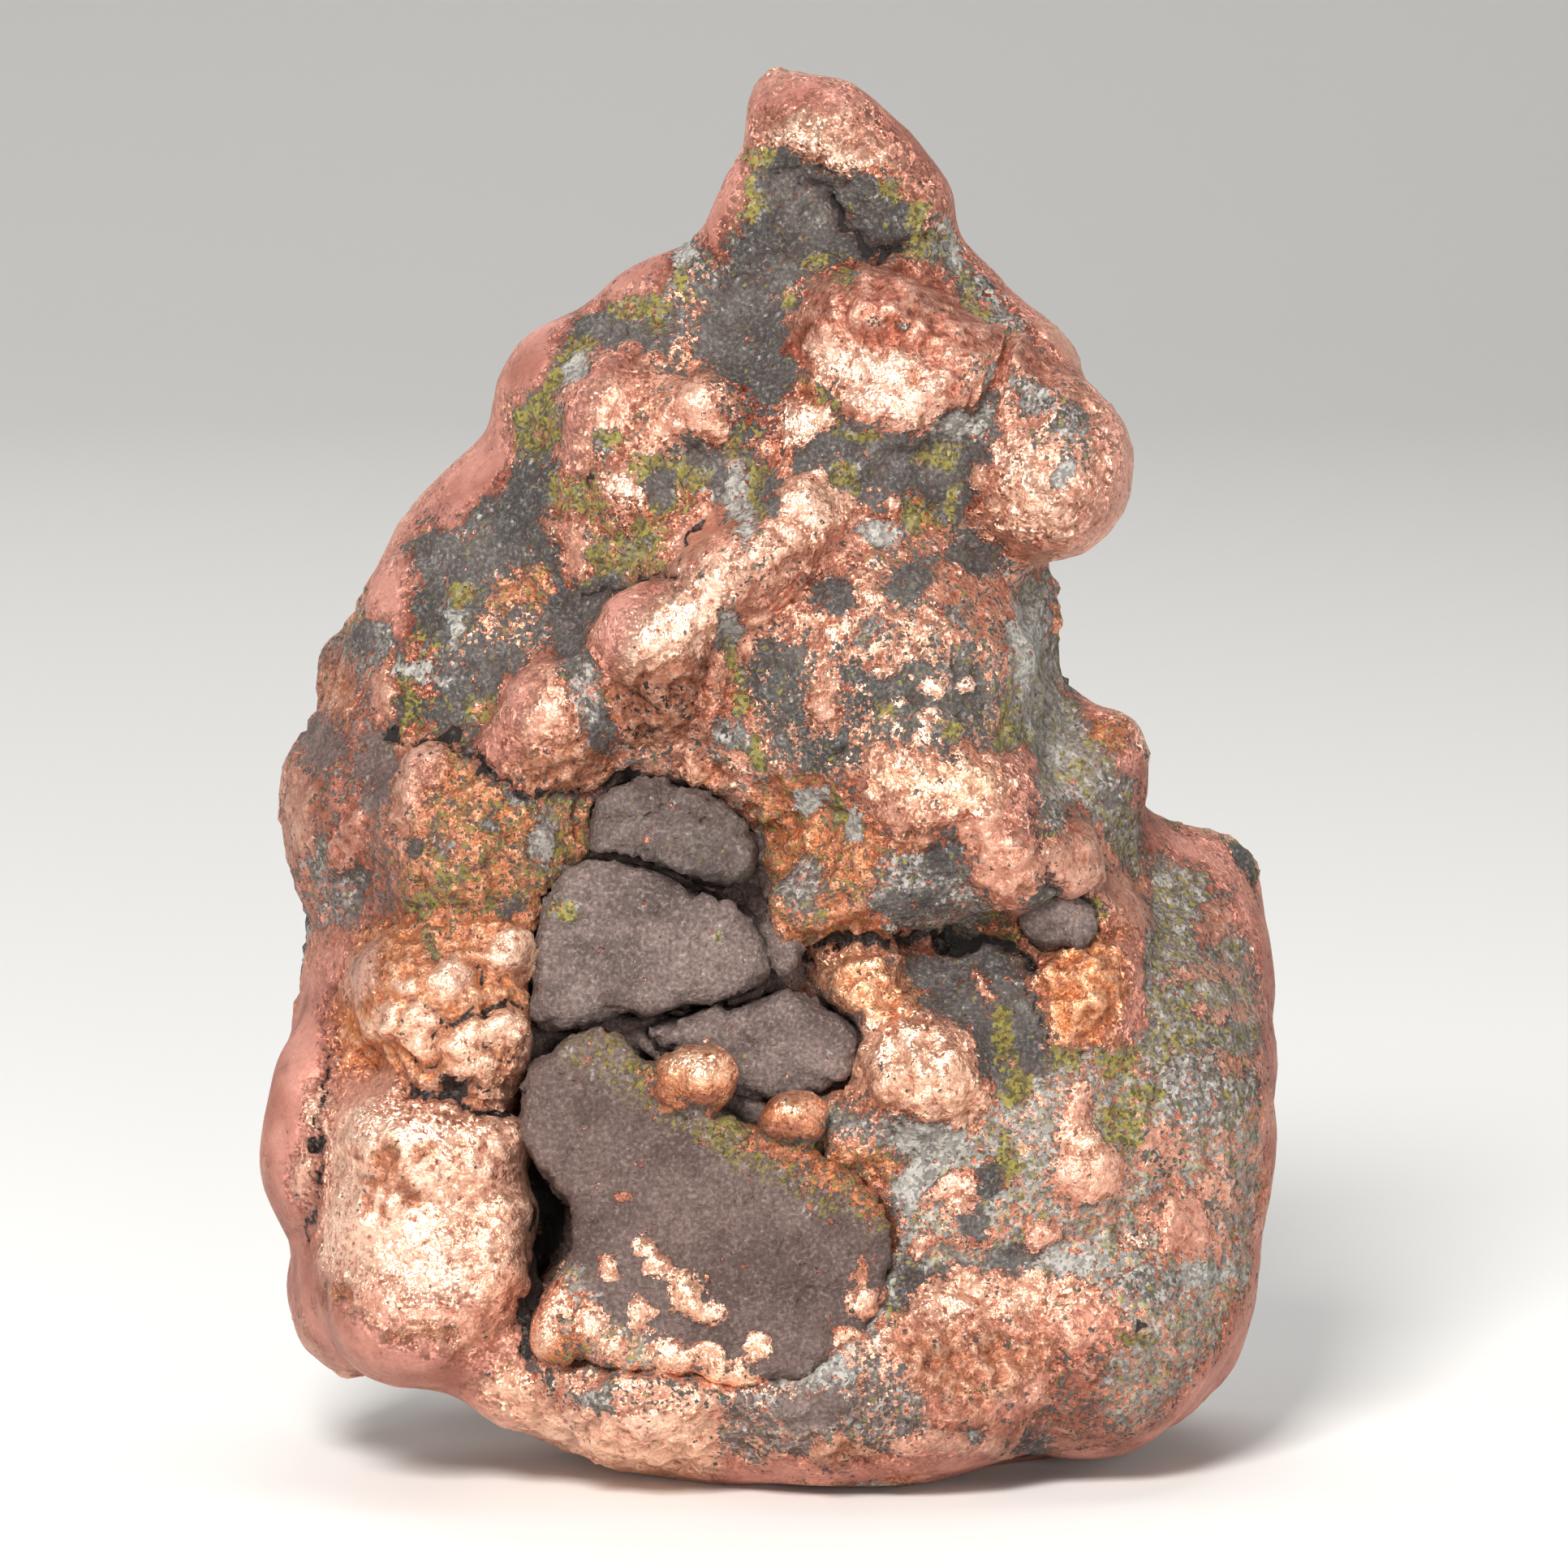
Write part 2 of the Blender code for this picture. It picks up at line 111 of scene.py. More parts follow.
def skin(**named):
    """A whole kind of surface: a trait that isn't named is 0, but dirt and painted shade are left as they
    are.
    """
    clean = {trait: 0.0 for trait in TRAITS if trait != "dirt"}
    return clean | named


# What each kind of mark is made of. In a dict, a trait that isn't named is left as it is. A kind with a high
# fifth trait paints a highlight into the colour; a high last trait darkens with dirt and with painted shade.
KINDS = {
    "lobe": skin(copper=0.95, chalk=0.1, rust=0.45, glow=0.3, rim=0.3, gold=0.15, crumb=0.4),
    # Copper with a painted highlight, and some calcite.
    "bright": skin(copper=0.985, chalk=0.3, rust=0.15, glow=1.0, gold=0.1, crumb=0.6),
    "warm": skin(copper=0.98, chalk=0.1, rust=0.3, glow=0.7, gold=0.35, crumb=0.75),
    "rim": skin(copper=1.0, rust=0.15, rim=1.0, crumb=0.08),
    "rim_lit": skin(copper=1.0, glow=0.45, rim=0.75, crumb=0.15),
    "rim_dull": skin(copper=1.0, rust=0.5, rim=0.9, gold=0.1, crumb=0.15, dirt=0.16),
    "basalt": skin(copper=0.1, olive=0.14, chalk=0.16, brown=0.1, crumb=0.3),
    "rock_flecked": skin(copper=0.2, olive=0.2, chalk=0.2, rust=0.3, glow=0.7, crumb=0.5),
    "flecked": skin(copper=0.4, olive=0.16, chalk=0.25, rust=0.5, glow=0.4, gold=0.45, brown=0.1,
        crumb=0.5),
    "mottled": skin(copper=0.66, olive=0.2, chalk=0.35, rust=0.5, glow=0.38, rim=0.2, gold=0.2,
        brown=0.1, crumb=0.5),
    "stained": skin(copper=0.25, olive=0.2, chalk=0.5, rust=0.5, glow=0.1, rim=0.2, gold=0.1,
        brown=0.2, crumb=0.3),
    "stained_copper": skin(copper=0.62, olive=0.12, chalk=0.2, rust=1.0, rim=0.15, gold=0.1, brown=0.7,
        crumb=0.4, dirt=0.4),
    # Brown stain with painted shade, for the outer left side that faces away from the light.
    "outer_skin": skin(copper=0.56, olive=0.2, chalk=0.3, rust=0.95, rim=0.3, gold=0.1, brown=0.8,
        crumb=0.4, dirt=0.42),
    "olive": dict(copper=0.2, olive=0.74, chalk=0.42, rust=0.5, gold=0.4, brown=0.0, crumb=0.6),
    "olive_dark": dict(copper=0.1, olive=0.8, chalk=0.0, rust=0.4, gold=0.2, brown=0.0, crumb=0.6),
    "olive_mix": skin(copper=0.4, olive=0.68, chalk=0.4, rust=0.6, glow=0.1, gold=0.4, crumb=0.7),
    "chalk": dict(copper=0.06, olive=0.1, chalk=1.0, rust=0.2, glow=0.0, rim=0.2, brown=0.0, crumb=0.2),
    # Red-brown copper: a real stain on the pillar, and painted shade on undersides.
    "ruddy": skin(copper=0.84, olive=0.12, chalk=0.15, rust=1.0, glow=0.1, gold=0.5, brown=0.3,
        crumb=0.9, dirt=0.42),
    "crust": skin(copper=0.66, olive=0.44, chalk=0.15, rust=0.9, glow=0.05, gold=1.0, brown=0.6,
        crumb=1.0, dirt=0.32),
    "crust_dark": skin(copper=0.6, olive=0.5, chalk=0.15, rust=0.95, glow=0.1, gold=1.0, brown=0.6,
        crumb=1.0, dirt=0.44),
    "crust_red": skin(copper=0.7, olive=0.16, chalk=0.4, rust=0.75, glow=0.4, gold=0.2, crumb=0.8),
    "crust_pink": skin(copper=0.9, olive=0.05, chalk=0.2, rust=0.6, glow=0.25, rim=0.2, gold=0.15,
        crumb=0.75),
    "low_crust": skin(copper=0.85, olive=0.12, chalk=0.25, rust=0.7, glow=0.2, rim=0.3, gold=0.15,
        brown=0.3, crumb=0.6),
    "crust_gold": skin(copper=0.96, olive=0.1, rust=0.8, glow=0.05, gold=1.0, crumb=1.0, dirt=0.12),
    "ledge_skin": skin(copper=0.16, olive=0.42, chalk=0.3, rust=0.8, gold=0.8, brown=0.8, crumb=0.4),
    "hazy": skin(copper=0.38, olive=0.34, chalk=0.72, rust=0.5, glow=0.2, rim=0.2, gold=0.4, brown=0.5,
        crumb=0.5),
    "grey_green": skin(copper=0.1, olive=0.42, chalk=0.5, rust=0.5, rim=0.3, brown=0.7, crumb=0.2),
    "brown_rock": skin(copper=0.08, olive=0.03, chalk=0.1, rust=0.3, brown=1.0, crumb=0.3),
    "brown_flecked": skin(copper=0.3, olive=0.2, chalk=0.4, rust=0.4, glow=0.5, gold=0.2, brown=1.0,
        crumb=0.5),
    "pillar_skin": skin(copper=0.99, rust=0.25, glow=0.9, gold=0.15, crumb=0.26),
    "pillar_pink": skin(copper=0.99, rust=0.35, glow=0.5, rim=0.1, gold=0.25, crumb=0.24),
    "fleck": skin(copper=1.0, rust=0.3, glow=0.7, gold=0.3, crumb=0.5, dirt=0.0),
    "lip_skin": skin(copper=0.97, chalk=0.1, rust=0.35, glow=0.6, gold=0.55, crumb=0.4),
    "fan_crust": skin(copper=0.92, olive=0.2, chalk=0.05, rust=0.45, glow=0.4, gold=1.0, brown=0.2,
        crumb=1.0),
    # Rust with heavy painted shade, for the underside of the ridge.
    "deep_rust": skin(copper=0.9, olive=0.1, chalk=0.05, rust=1.0, gold=0.4, brown=0.3, crumb=0.8,
        dirt=0.64),
    "bead": skin(copper=1.0, rust=0.5, glow=0.2, gold=0.9, crumb=0.6, dirt=0.0),
    # Painted highlight on the top of a bead or fleck.
    "bead_top": skin(copper=1.0, glow=1.0, gold=0.7, crumb=0.5, dirt=0.0),
    "grey_pale": skin(copper=0.1, olive=0.36, chalk=0.78, rust=0.5, rim=0.2, brown=0.7, crumb=0.2),
    "foot_crust": skin(copper=0.52, olive=0.36, chalk=0.66, rust=0.3, glow=0.6, gold=0.4, brown=0.7,
        crumb=0.7, dirt=0.0),
    "stain_dark": skin(copper=0.8, olive=0.4, rust=1.0, gold=0.6, brown=1.0, crumb=0.5, dirt=0.57),
    "slab_grey": skin(copper=0.02, olive=0.12, chalk=0.12, rust=0.3, brown=0.55, crumb=0.4, dirt=0.16),
    "deep_red": skin(copper=0.93, chalk=0.1, rust=0.95, rim=0.1, crumb=0.55, dirt=0.12),
    "shade": dict(dirt=0.46),
    # Painted black shadow in clefts, seams, holes and crevices.
    "pit": dict(dirt=1.0),
}

# How the marks' edges wander, fray and fade, in face steps.
EDGE_WANDER = 12.0
EDGE_FRAY = 9.0
WANDER_PITCH = 1.5
FRAY_PITCH = 0.5
PATCH_EDGE = 17.0
PIT_EDGE = 12.0
PIT_FADE = 24
PIT_AT_EDGE = 0.6

# The depths between which a spot fades in, the steepness and foot of a raised one's dome, and the depths
# between which a swell rises.
SPOT_FADE = (-0.5, 0.4)
DOME_STEEPNESS = 1.6
DOME_FOOT = 0.1
SWELL_FADE = (-0.1, 1.0)

# The painted shade in the middle of a crack, before its depth is added, and how much of it is gone one width
# away.
CRACK_SHADE = 0.62
CRACK_SHADE_FADE = 0.5

# The marks fade out where the surface turns away from the eye.
FRONT_FADE = (-0.3, 0.0)

# Patches on the nugget: a kind, then an outline in face steps (across, down). Later ones lie over earlier.
PATCHES = {
    "pocket_bed": ("brown_rock", (735, 985), (790, 955), (860, 960), (920, 985), (950, 1040), (965, 1110),
        (1000, 1170), (1010, 1215), (1035, 1245), (1070, 1262), (1050, 1300), (1020, 1340), (1000, 1352),
        (1010, 1395), (1040, 1440), (1090, 1480), (1095, 1560), (1075, 1620), (1000, 1680), (900, 1720),
        (800, 1690), (700, 1690), (655, 1690), (645, 1600), (650, 1400), (665, 1300), (672, 1150),
        (700, 1080), (735, 1040)),
    # Painted black shadow in the cleft beside the pillar.
    "cleft_beside_pillar": ("pit", (636, 1420), (656, 1416), (680, 1460), (710, 1500), (682, 1545),
        (664, 1613),
        (658, 1676), (638, 1676), (630, 1560)),
    "crown_arch": ("lobe", (917, 172), (925, 130), (955, 104), (985, 92), (1040, 105), (1095, 135),
        (1145, 195), (1172, 245), (1182, 285), (1160, 276), (1140, 248), (1111, 222), (1088, 206),
        (1052, 196), (1042, 212), (1027, 216), (1010, 200), (990, 192), (946, 190), (923, 180)),
    # Painted highlight across the lower crown.
    "crown_glow": ("bright", (945, 168), (985, 148), (1010, 160), (1050, 175), (1085, 195), (1050, 205),
        (1030, 212), (1010, 196), (975, 186), (946, 184)),
    "crown_rim": ("rim", (915, 172), (920, 120), (960, 92), (1000, 90), (1060, 108), (1110, 142),
        (1150, 190), (1180, 250), (1186, 290), (1165, 270), (1140, 215), (1095, 165), (1040, 135),
        (990, 130), (950, 140), (935, 170)),
    "crown_strip": ("rim", (918, 183), (897, 206), (862, 264), (868, 306), (889, 331), (898, 310),
        (904, 283), (918, 250), (920, 208)),
    "neck_basalt": ("basalt", (935, 199), (960, 190), (981, 193), (1004, 202), (1019, 214), (1040, 212),
        (1065, 212), (1096, 229), (1110, 250), (1126, 264), (1145, 294), (1125, 308), (1095, 312),
        (1065, 310), (1040, 318), (1012, 332), (990, 356), (984, 385), (968, 420), (985, 463), (973, 493),
        (946, 512), (916, 486), (881, 466), (854, 447), (848, 409), (858, 371), (868, 350), (892, 330),
        (900, 310), (908, 285), (922, 258), (928, 225)),
    "left_neck_mottle": ("flecked", (820, 330), (850, 290), (870, 300), (872, 340), (858, 371),
        (846, 410), (850, 450), (830, 470), (815, 440), (818, 390)),
    "neck_chalk": ("chalk", (1150, 268), (1172, 278), (1188, 300), (1196, 340), (1184, 352), (1168, 334),
        (1160, 305)),
    "right_rim_high": ("rim", (1178, 290), (1200, 296), (1232, 326), (1262, 368), (1276, 402),
        (1262, 396), (1240, 372), (1218, 346), (1195, 312)),
    "right_strip": ("stained", (1172, 320), (1190, 330), (1212, 352), (1236, 384), (1262, 408),
        (1282, 436), (1262, 446), (1236, 428), (1205, 402), (1184, 370)),
    "brow": ("deep_red", (990, 352), (1012, 334), (1050, 318), (1090, 311), (1140, 318), (1168, 336),
        (1182, 372), (1206, 410), (1238, 440), (1262, 452), (1300, 446), (1330, 470), (1355, 500),
        (1300, 500), (1262, 486), (1228, 497), (1186, 500), (1150, 508), (1138, 535), (1080, 524),
        (1046, 508), (1034, 468), (1008, 462), (988, 452), (970, 420), (984, 390)),
    "brow_front": ("deep_red", (1000, 395), (1040, 375), (1090, 372), (1140, 390), (1160, 430), (1150, 470),
        (1152, 510), (1140, 534), (1080, 524), (1048, 508), (1036, 468), (1008, 460), (988, 450),
        (972, 420)),
    # Painted highlight on the lower middle of the brow.
    "brow_glow": ("bright", (1000, 432), (1030, 418), (1060, 440), (1100, 440), (1140, 462), (1146, 500),
        (1142, 530), (1100, 520), (1060, 500), (1040, 470), (1010, 458)),
    "knob": ("lobe", (1222, 493), (1262, 484), (1310, 490), (1350, 500), (1385, 520), (1398, 570),
        (1390, 620), (1362, 655), (1320, 690), (1290, 702), (1258, 705), (1232, 690), (1208, 652),
        (1212, 600), (1214, 575), (1222, 540)),
    "knob_speckle": ("mottled", (1255, 484), (1290, 478), (1330, 492), (1350, 530), (1352, 580),
        (1336, 612), (1310, 600), (1290, 570), (1262, 545), (1250, 510)),
    # Painted highlight on the knob's lit left side.
    "knob_glow": ("bright", (1222, 545), (1246, 552), (1270, 572), (1296, 606), (1316, 636), (1296, 652),
        (1262, 650), (1232, 640), (1240, 600), (1228, 575)),
    "knob_rim": ("rim_lit", (1352, 500), (1375, 505), (1400, 560), (1392, 625), (1360, 668), (1318, 696),
        (1310, 680), (1340, 655), (1362, 615), (1366, 560)),
    "under_brow_rock": ("basalt", (973, 548), (1000, 530), (1030, 530), (1044, 512), (1080, 527),
        (1138, 538), (1150, 512), (1190, 505), (1226, 500), (1226, 545), (1214, 575), (1210, 622),
        (1190, 632), (1150, 618), (1120, 612), (1090, 626), (1050, 630), (1036, 600), (1010, 592),
        (985, 598), (972, 580)),
    "under_brow_chalk": ("stained", (1152, 510), (1190, 504), (1228, 500), (1228, 538), (1200, 548),
        (1160, 545)),
    "calcite_vein": ("chalk", (898, 566), (912, 572), (922, 600), (932, 640), (934, 668), (918, 682),
        (900, 664), (893, 620)),
    "left_rim_high": ("rim", (830, 296), (836, 330), (812, 352), (798, 364), (760, 372), (722, 384),
        (704, 412), (690, 438), (672, 470), (655, 496), (618, 502), (606, 480), (628, 420), (655, 385),
        (700, 355), (760, 325)),
    "left_rock_high": ("basalt", (706, 392), (740, 382), (775, 386), (822, 370), (824, 432), (800, 446),
        (770, 428), (735, 440), (712, 446), (700, 430)),
    "left_olive_band": ("olive_dark", (672, 470), (694, 440), (704, 456), (690, 500), (686, 540),
        (672, 565), (640, 570), (620, 545), (618, 510), (650, 498)),
    "cheek": ("lobe", (690, 530), (698, 480), (722, 446), (762, 430), (796, 440), (806, 470), (790, 505),
        (770, 540), (742, 560), (728, 598), (705, 600), (688, 570)),
    "cheek_rim": ("rim", (690, 560), (698, 492), (724, 450), (762, 432), (780, 440), (752, 466),
        (728, 500), (712, 545), (704, 590)),
    "cheek_right": ("mottled", (796, 440), (836, 452), (850, 470), (880, 480), (900, 500), (895, 560),
        (880, 600), (850, 620), (810, 600), (780, 560), (772, 540), (800, 500)),
    "left_rim_low": ("rim", (606, 500), (634, 510), (640, 540), (632, 575), (618, 602), (598, 622),
        (574, 640), (548, 650), (520, 640), (540, 590), (575, 540)),
    "left_rock": ("basalt", (632, 574), (650, 566), (684, 574), (692, 625), (682, 648), (704, 682),
        (708, 721), (716, 740), (712, 790), (736, 800), (742, 836), (716, 850), (700, 820), (690, 759),
        (672, 713), (649, 706), (620, 715), (600, 717), (584, 682), (580, 648), (588, 629), (612, 606)),
    "left_rock_b": ("basalt", (534, 652), (573, 654), (590, 713), (592, 760), (570, 780), (546, 816),
        (519, 774), (522, 713)),
    "left_rock_c": ("flecked", (592, 700), (650, 706), (676, 720), (690, 770), (680, 800), (640, 830),
        (600, 880), (560, 905), (530, 880), (540, 820), (570, 780), (595, 755)),
    "left_rock_d": ("basalt", (535, 840), (580, 810), (620, 800), (640, 830), (612, 860), (596, 890),
        (590, 910), (560, 908), (530, 885)),
    "left_edge_rock": ("basalt", (500, 668), (530, 645), (560, 648), (575, 690), (565, 740), (535, 762),
        (518, 725), (505, 692)),
    "left_patch": ("rim", (454, 700), (480, 680), (508, 690), (512, 740), (502, 790), (480, 800),
        (460, 760), (448, 730)),
    "mid_copper": ("lobe", (668, 640), (684, 630), (722, 628), (740, 650), (738, 690), (720, 722),
        (700, 720), (690, 680)),
    "mid_olive": ("olive_mix", (705, 600), (745, 575), (800, 590), (860, 600), (880, 640), (868, 680),
        (830, 710), (800, 712), (752, 726), (720, 736), (712, 760), (706, 722), (738, 690), (740, 650)),
    "mid_bead": ("lobe", (741, 610), (760, 580), (796, 585), (800, 625), (770, 650), (748, 640)),
    "mid_pink": ("lobe", (814, 700), (828, 640), (862, 610), (888, 622), (905, 650), (918, 684),
        (880, 712), (836, 722)),
    # Painted highlight along the lit ridge.
    "ridge": ("bright", (733, 790), (734, 752), (752, 728), (798, 713), (836, 722), (858, 714),
        (900, 690), (930, 672), (980, 650), (1010, 655), (1000, 676), (960, 700), (915, 720), (880, 748),
        (880, 790), (860, 812), (800, 820), (750, 830)),
    "ridge_high": ("bright", (925, 680), (950, 655), (966, 632), (962, 604), (985, 588), (1015, 594),
        (1046, 606), (1050, 622), (1030, 646), (1000, 668), (960, 690)),
    "ridge_rim": ("rim", (732, 800), (732, 750), (752, 726), (800, 712), (840, 722), (812, 740),
        (780, 760), (764, 800), (770, 840), (745, 842)),
    # Under the ridge: rust with painted shade.
    "ridge_under": ("deep_rust", (745, 842), (770, 815), (815, 822), (860, 806), (885, 790), (892, 830),
        (880, 870), (860, 900), (800, 925), (760, 915), (748, 880)),
    "ridge_foot": ("mottled", (752, 905), (800, 925), (860, 900), (900, 890), (935, 905), (940, 960),
        (930, 1010), (880, 990), (850, 965), (800, 960), (770, 950)),
    "belly": ("mottled", (900, 700), (960, 676), (1010, 664), (1070, 650), (1130, 664), (1190, 640),
        (1235, 660), (1262, 705), (1262, 740), (1246, 790), (1240, 850), (1222, 900), (1200, 915),
        (1150, 940), (1100, 920), (1060, 950), (1000, 960), (950, 940), (930, 880), (905, 820),
        (896, 760)),
    "belly_red": ("crust_red", (930, 700), (1000, 672), (1060, 668), (1100, 690), (1130, 720),
        (1160, 780), (1140, 800), (1090, 810), (1040, 815), (1000, 800), (960, 780), (930, 750)),
    "ridge_flank": ("crust_pink", (872, 790), (896, 740), (950, 704), (1000, 676), (1050, 652), (1062, 690),
        (1004, 722), (955, 762), (920, 806), (888, 836)),
    "belly_dark": ("flecked", (912, 822), (946, 790), (985, 809), (1004, 850), (1050, 822), (1088, 828),
        (1141, 801), (1203, 797), (1228, 820), (1222, 866), (1203, 904), (1176, 927), (1134, 924),
        (1088, 916), (1065, 946), (1027, 950), (973, 946), (942, 904), (930, 866)),
    "lip": ("crust_pink", (1060, 960), (1065, 926), (1092, 918), (1118, 922), (1157, 945), (1203, 922),
        (1240, 920), (1266, 930), (1276, 973), (1273, 1038), (1281, 1088), (1254, 1128), (1214, 1112),
        (1187, 1088), (1195, 1057), (1166, 1022), (1130, 1020), (1088, 1019), (1050, 985)),
    # Painted highlight along the lip.
    "lip_glow": ("lip_skin", (1070, 945), (1110, 932), (1150, 955), (1200, 935), (1235, 945), (1240, 985),
        (1200, 1000), (1150, 990), (1100, 985), (1072, 970)),
    "lip_rim": ("rim", (1246, 925), (1270, 932), (1280, 975), (1277, 1040), (1262, 1040), (1258, 985),
        (1252, 950)),
    "under_lip": ("crust", (932, 975), (960, 955), (1010, 962), (1050, 985), (1078, 1020), (1090, 1050),
        (1070, 1090), (1064, 1120), (1082, 1150), (1030, 1160), (1000, 1150), (962, 1110), (940, 1060),
        (930, 1010)),
    "lip_rock": ("stained", (1100, 1050), (1122, 1036), (1164, 1031), (1187, 1073), (1206, 1112),
        (1205, 1145), (1145, 1152), (1088, 1140), (1066, 1110), (1080, 1075)),
    "side_strip": ("grey_pale", (1262, 712), (1290, 705), (1296, 760), (1298, 805), (1318, 858),
        (1330, 900), (1330, 960), (1318, 1000), (1300, 1030), (1280, 1000), (1276, 950), (1262, 920),
        (1245, 870), (1250, 800), (1262, 740)),
    "hip": ("grey_green", (1318, 858), (1345, 868), (1385, 905), (1412, 960), (1428, 1030), (1420, 1060),
        (1395, 1090), (1370, 1060), (1352, 1020), (1330, 1000), (1318, 960), (1324, 900)),
    "hip_rim": ("rim", (1320, 850), (1350, 866), (1388, 900), (1416, 955), (1432, 1030), (1428, 1060),
        (1414, 1040), (1400, 975), (1370, 915), (1335, 878)),
    "hip_low": ("lobe", (1352, 1020), (1372, 1060), (1398, 1092), (1425, 1060), (1424, 1120),
        (1412, 1190), (1402, 1250), (1388, 1290), (1375, 1280), (1398, 1235), (1396, 1185), (1378, 1146),
        (1360, 1120)),
    "back_lobe": ("grey_green", (1418, 1060), (1440, 1040), (1490, 1065), (1525, 1110), (1545, 1160),
        (1556, 1240), (1556, 1330), (1530, 1380), (1480, 1400), (1430, 1380), (1400, 1330), (1390, 1280),
        (1412, 1200)),
    "back_lobe_rim": ("rim", (1420, 1040), (1450, 1020), (1500, 1040), (1545, 1090), (1570, 1160),
        (1580, 1260), (1582, 1420), (1570, 1520), (1552, 1515), (1556, 1400), (1556, 1260), (1542, 1170),
        (1512, 1105), (1475, 1068), (1440, 1058)),
    # The outer left side: brown stain and painted shade.
    "left_outer": ("outer_skin", (350, 960), (362, 900), (385, 820), (420, 780), (450, 800),
        (480, 860), (490, 910), (478, 960), (486, 1040), (498, 1100), (500, 1150), (450, 1150),
        (400, 1160), (352, 1080), (340, 1030)),
    "crust_top": ("crust_dark", (477, 1000), (478, 950), (495, 918), (530, 905), (560, 912), (590, 925),
        (600, 960), (640, 990), (690, 1000), (733, 1000), (735, 1040), (700, 1075), (676, 1100),
        (668, 1160), (672, 1200), (640, 1230), (600, 1245), (540, 1250), (470, 1240), (440, 1210),
        (450, 1150), (500, 1140), (500, 1090), (488, 1040)),
    "crust_lobe": ("crust_pink", (477, 1000), (480, 950), (497, 920), (530, 906), (552, 914), (540, 950),
        (520, 980), (510, 1020), (500, 1060), (486, 1040)),
    "flank_lobe": ("lobe", (680, 805), (704, 835), (704, 897), (742, 927), (766, 946), (735, 977),
        (664, 979), (618, 960), (592, 927), (596, 889), (622, 843), (657, 813)),
    "flank_rim": ("rim", (592, 930), (596, 889), (622, 843), (657, 813), (676, 810), (655, 840),
        (636, 880), (628, 930), (640, 965), (615, 958)),
    # Painted shade under the flank lobe.
    "flank_under": ("ruddy", (622, 955), (640, 930), (668, 915), (700, 892), (735, 905), (770, 946),
        (735, 980),
        (664, 982)),
    "crumb": ("crust_gold", (430, 1200), (452, 1140), (500, 1130), (560, 1150), (620, 1130), (664, 1120),
        (674, 1150), (664, 1200), (650, 1240), (640, 1300), (612, 1340), (570, 1345), (500, 1320),
        (440, 1330), (410, 1290), (400, 1260)),
    # Painted shadow in the seams between the crumbs.
    "crumb_seam": ("pit", (545, 1250), (580, 1246), (622, 1234), (645, 1236), (622, 1245), (585, 1258),
        (552, 1262)),
    "crumb_foot": ("pit", (536, 1326), (560, 1328), (582, 1346), (572, 1362), (552, 1352)),
    "side_lobe": ("rim", (395, 1180), (420, 1180), (408, 1230), (402, 1290), (404, 1340), (400, 1400),
        (396, 1480), (372, 1540), (340, 1530), (312, 1430), (318, 1330), (345, 1270)),
    "pillar": ("lobe", (404, 1340), (430, 1325), (480, 1320), (520, 1340), (560, 1360), (600, 1366),
        (640, 1360), (642, 1420), (636, 1520), (640, 1600), (636, 1690), (600, 1716), (540, 1716),
        (470, 1708), (410, 1670), (370, 1610), (352, 1540), (390, 1480), (398, 1420)),
    # Painted highlight on the lit left of the pillar; the right side below has less of it.
    "pillar_glow": ("pillar_skin", (404, 1450), (410, 1404), (450, 1368), (520, 1370), (580, 1385),
        (630, 1390), (634, 1450), (628, 1530), (625, 1590), (560, 1600), (480, 1588), (406, 1566),
        (394, 1500)),
    "pillar_side": ("pillar_pink", (556, 1400), (600, 1388), (640, 1392), (640, 1500), (638, 1600),
        (590, 1606),
        (560, 1560), (548, 1480)),
    "pillar_rim": ("rim_dull", (398, 1345), (414, 1330), (402, 1400), (394, 1460), (388, 1520), (396, 1570),
        (430, 1612), (500, 1650), (560, 1668), (632, 1670), (630, 1700), (590, 1722), (520, 1722),
        (460, 1712), (395, 1668), (350, 1600), (335, 1530), (380, 1480), (398, 1420)),
    "front_flecked": ("mottled", (655, 1660), (662, 1560), (700, 1540), (800, 1600), (900, 1640),
        (1000, 1670), (1060, 1650), (1090, 1600), (1100, 1660), (1110, 1700), (1130, 1740), (1130, 1790),
        (900, 1800), (880, 1740), (770, 1730), (690, 1730)),
    "front_rim": ("warm", (586, 1700), (600, 1690), (640, 1672), (668, 1722), (712, 1750), (770, 1742),
        (851, 1726), (888, 1762), (890, 1826), (810, 1832), (728, 1808), (640, 1764)),
    "front_brown": ("brown_flecked", (890, 1760), (900, 1730), (960, 1700), (1020, 1705), (1090, 1690),
        (1130, 1720), (1140, 1760), (1120, 1792), (1000, 1795), (890, 1800)),
    "front_chalk": ("chalk", (960, 1680), (1000, 1672), (1050, 1676), (1048, 1698), (1000, 1706),
        (965, 1700)),
    "seam_chalk": ("chalk", (1098, 1440), (1140, 1420), (1160, 1395), (1200, 1395), (1196, 1430),
        (1150, 1460), (1125, 1500), (1100, 1540), (1092, 1600), (1070, 1640), (1050, 1665), (1056, 1640),
        (1078, 1590), (1084, 1530), (1092, 1480)),
    "fan": ("fan_crust", (1003, 1176), (1040, 1166), (1105, 1172), (1124, 1209), (1146, 1246), (1118, 1262),
        (1072, 1262), (1032, 1238), (1011, 1213)),
    "between_rock": ("basalt", (1109, 1176), (1150, 1170), (1211, 1166), (1254, 1181), (1280, 1213),
        (1300, 1279), (1304, 1328), (1280, 1350), (1240, 1350), (1208, 1320), (1192, 1272), (1148, 1244),
        (1126, 1209)),
    "knob_low": ("warm", (1072, 1262), (1121, 1260), (1182, 1270), (1200, 1303), (1218, 1352),
        (1208, 1390), (1172, 1398), (1132, 1368), (1072, 1366), (1020, 1340), (1042, 1296)),
    # Painted highlight on the upper side of the low knob.
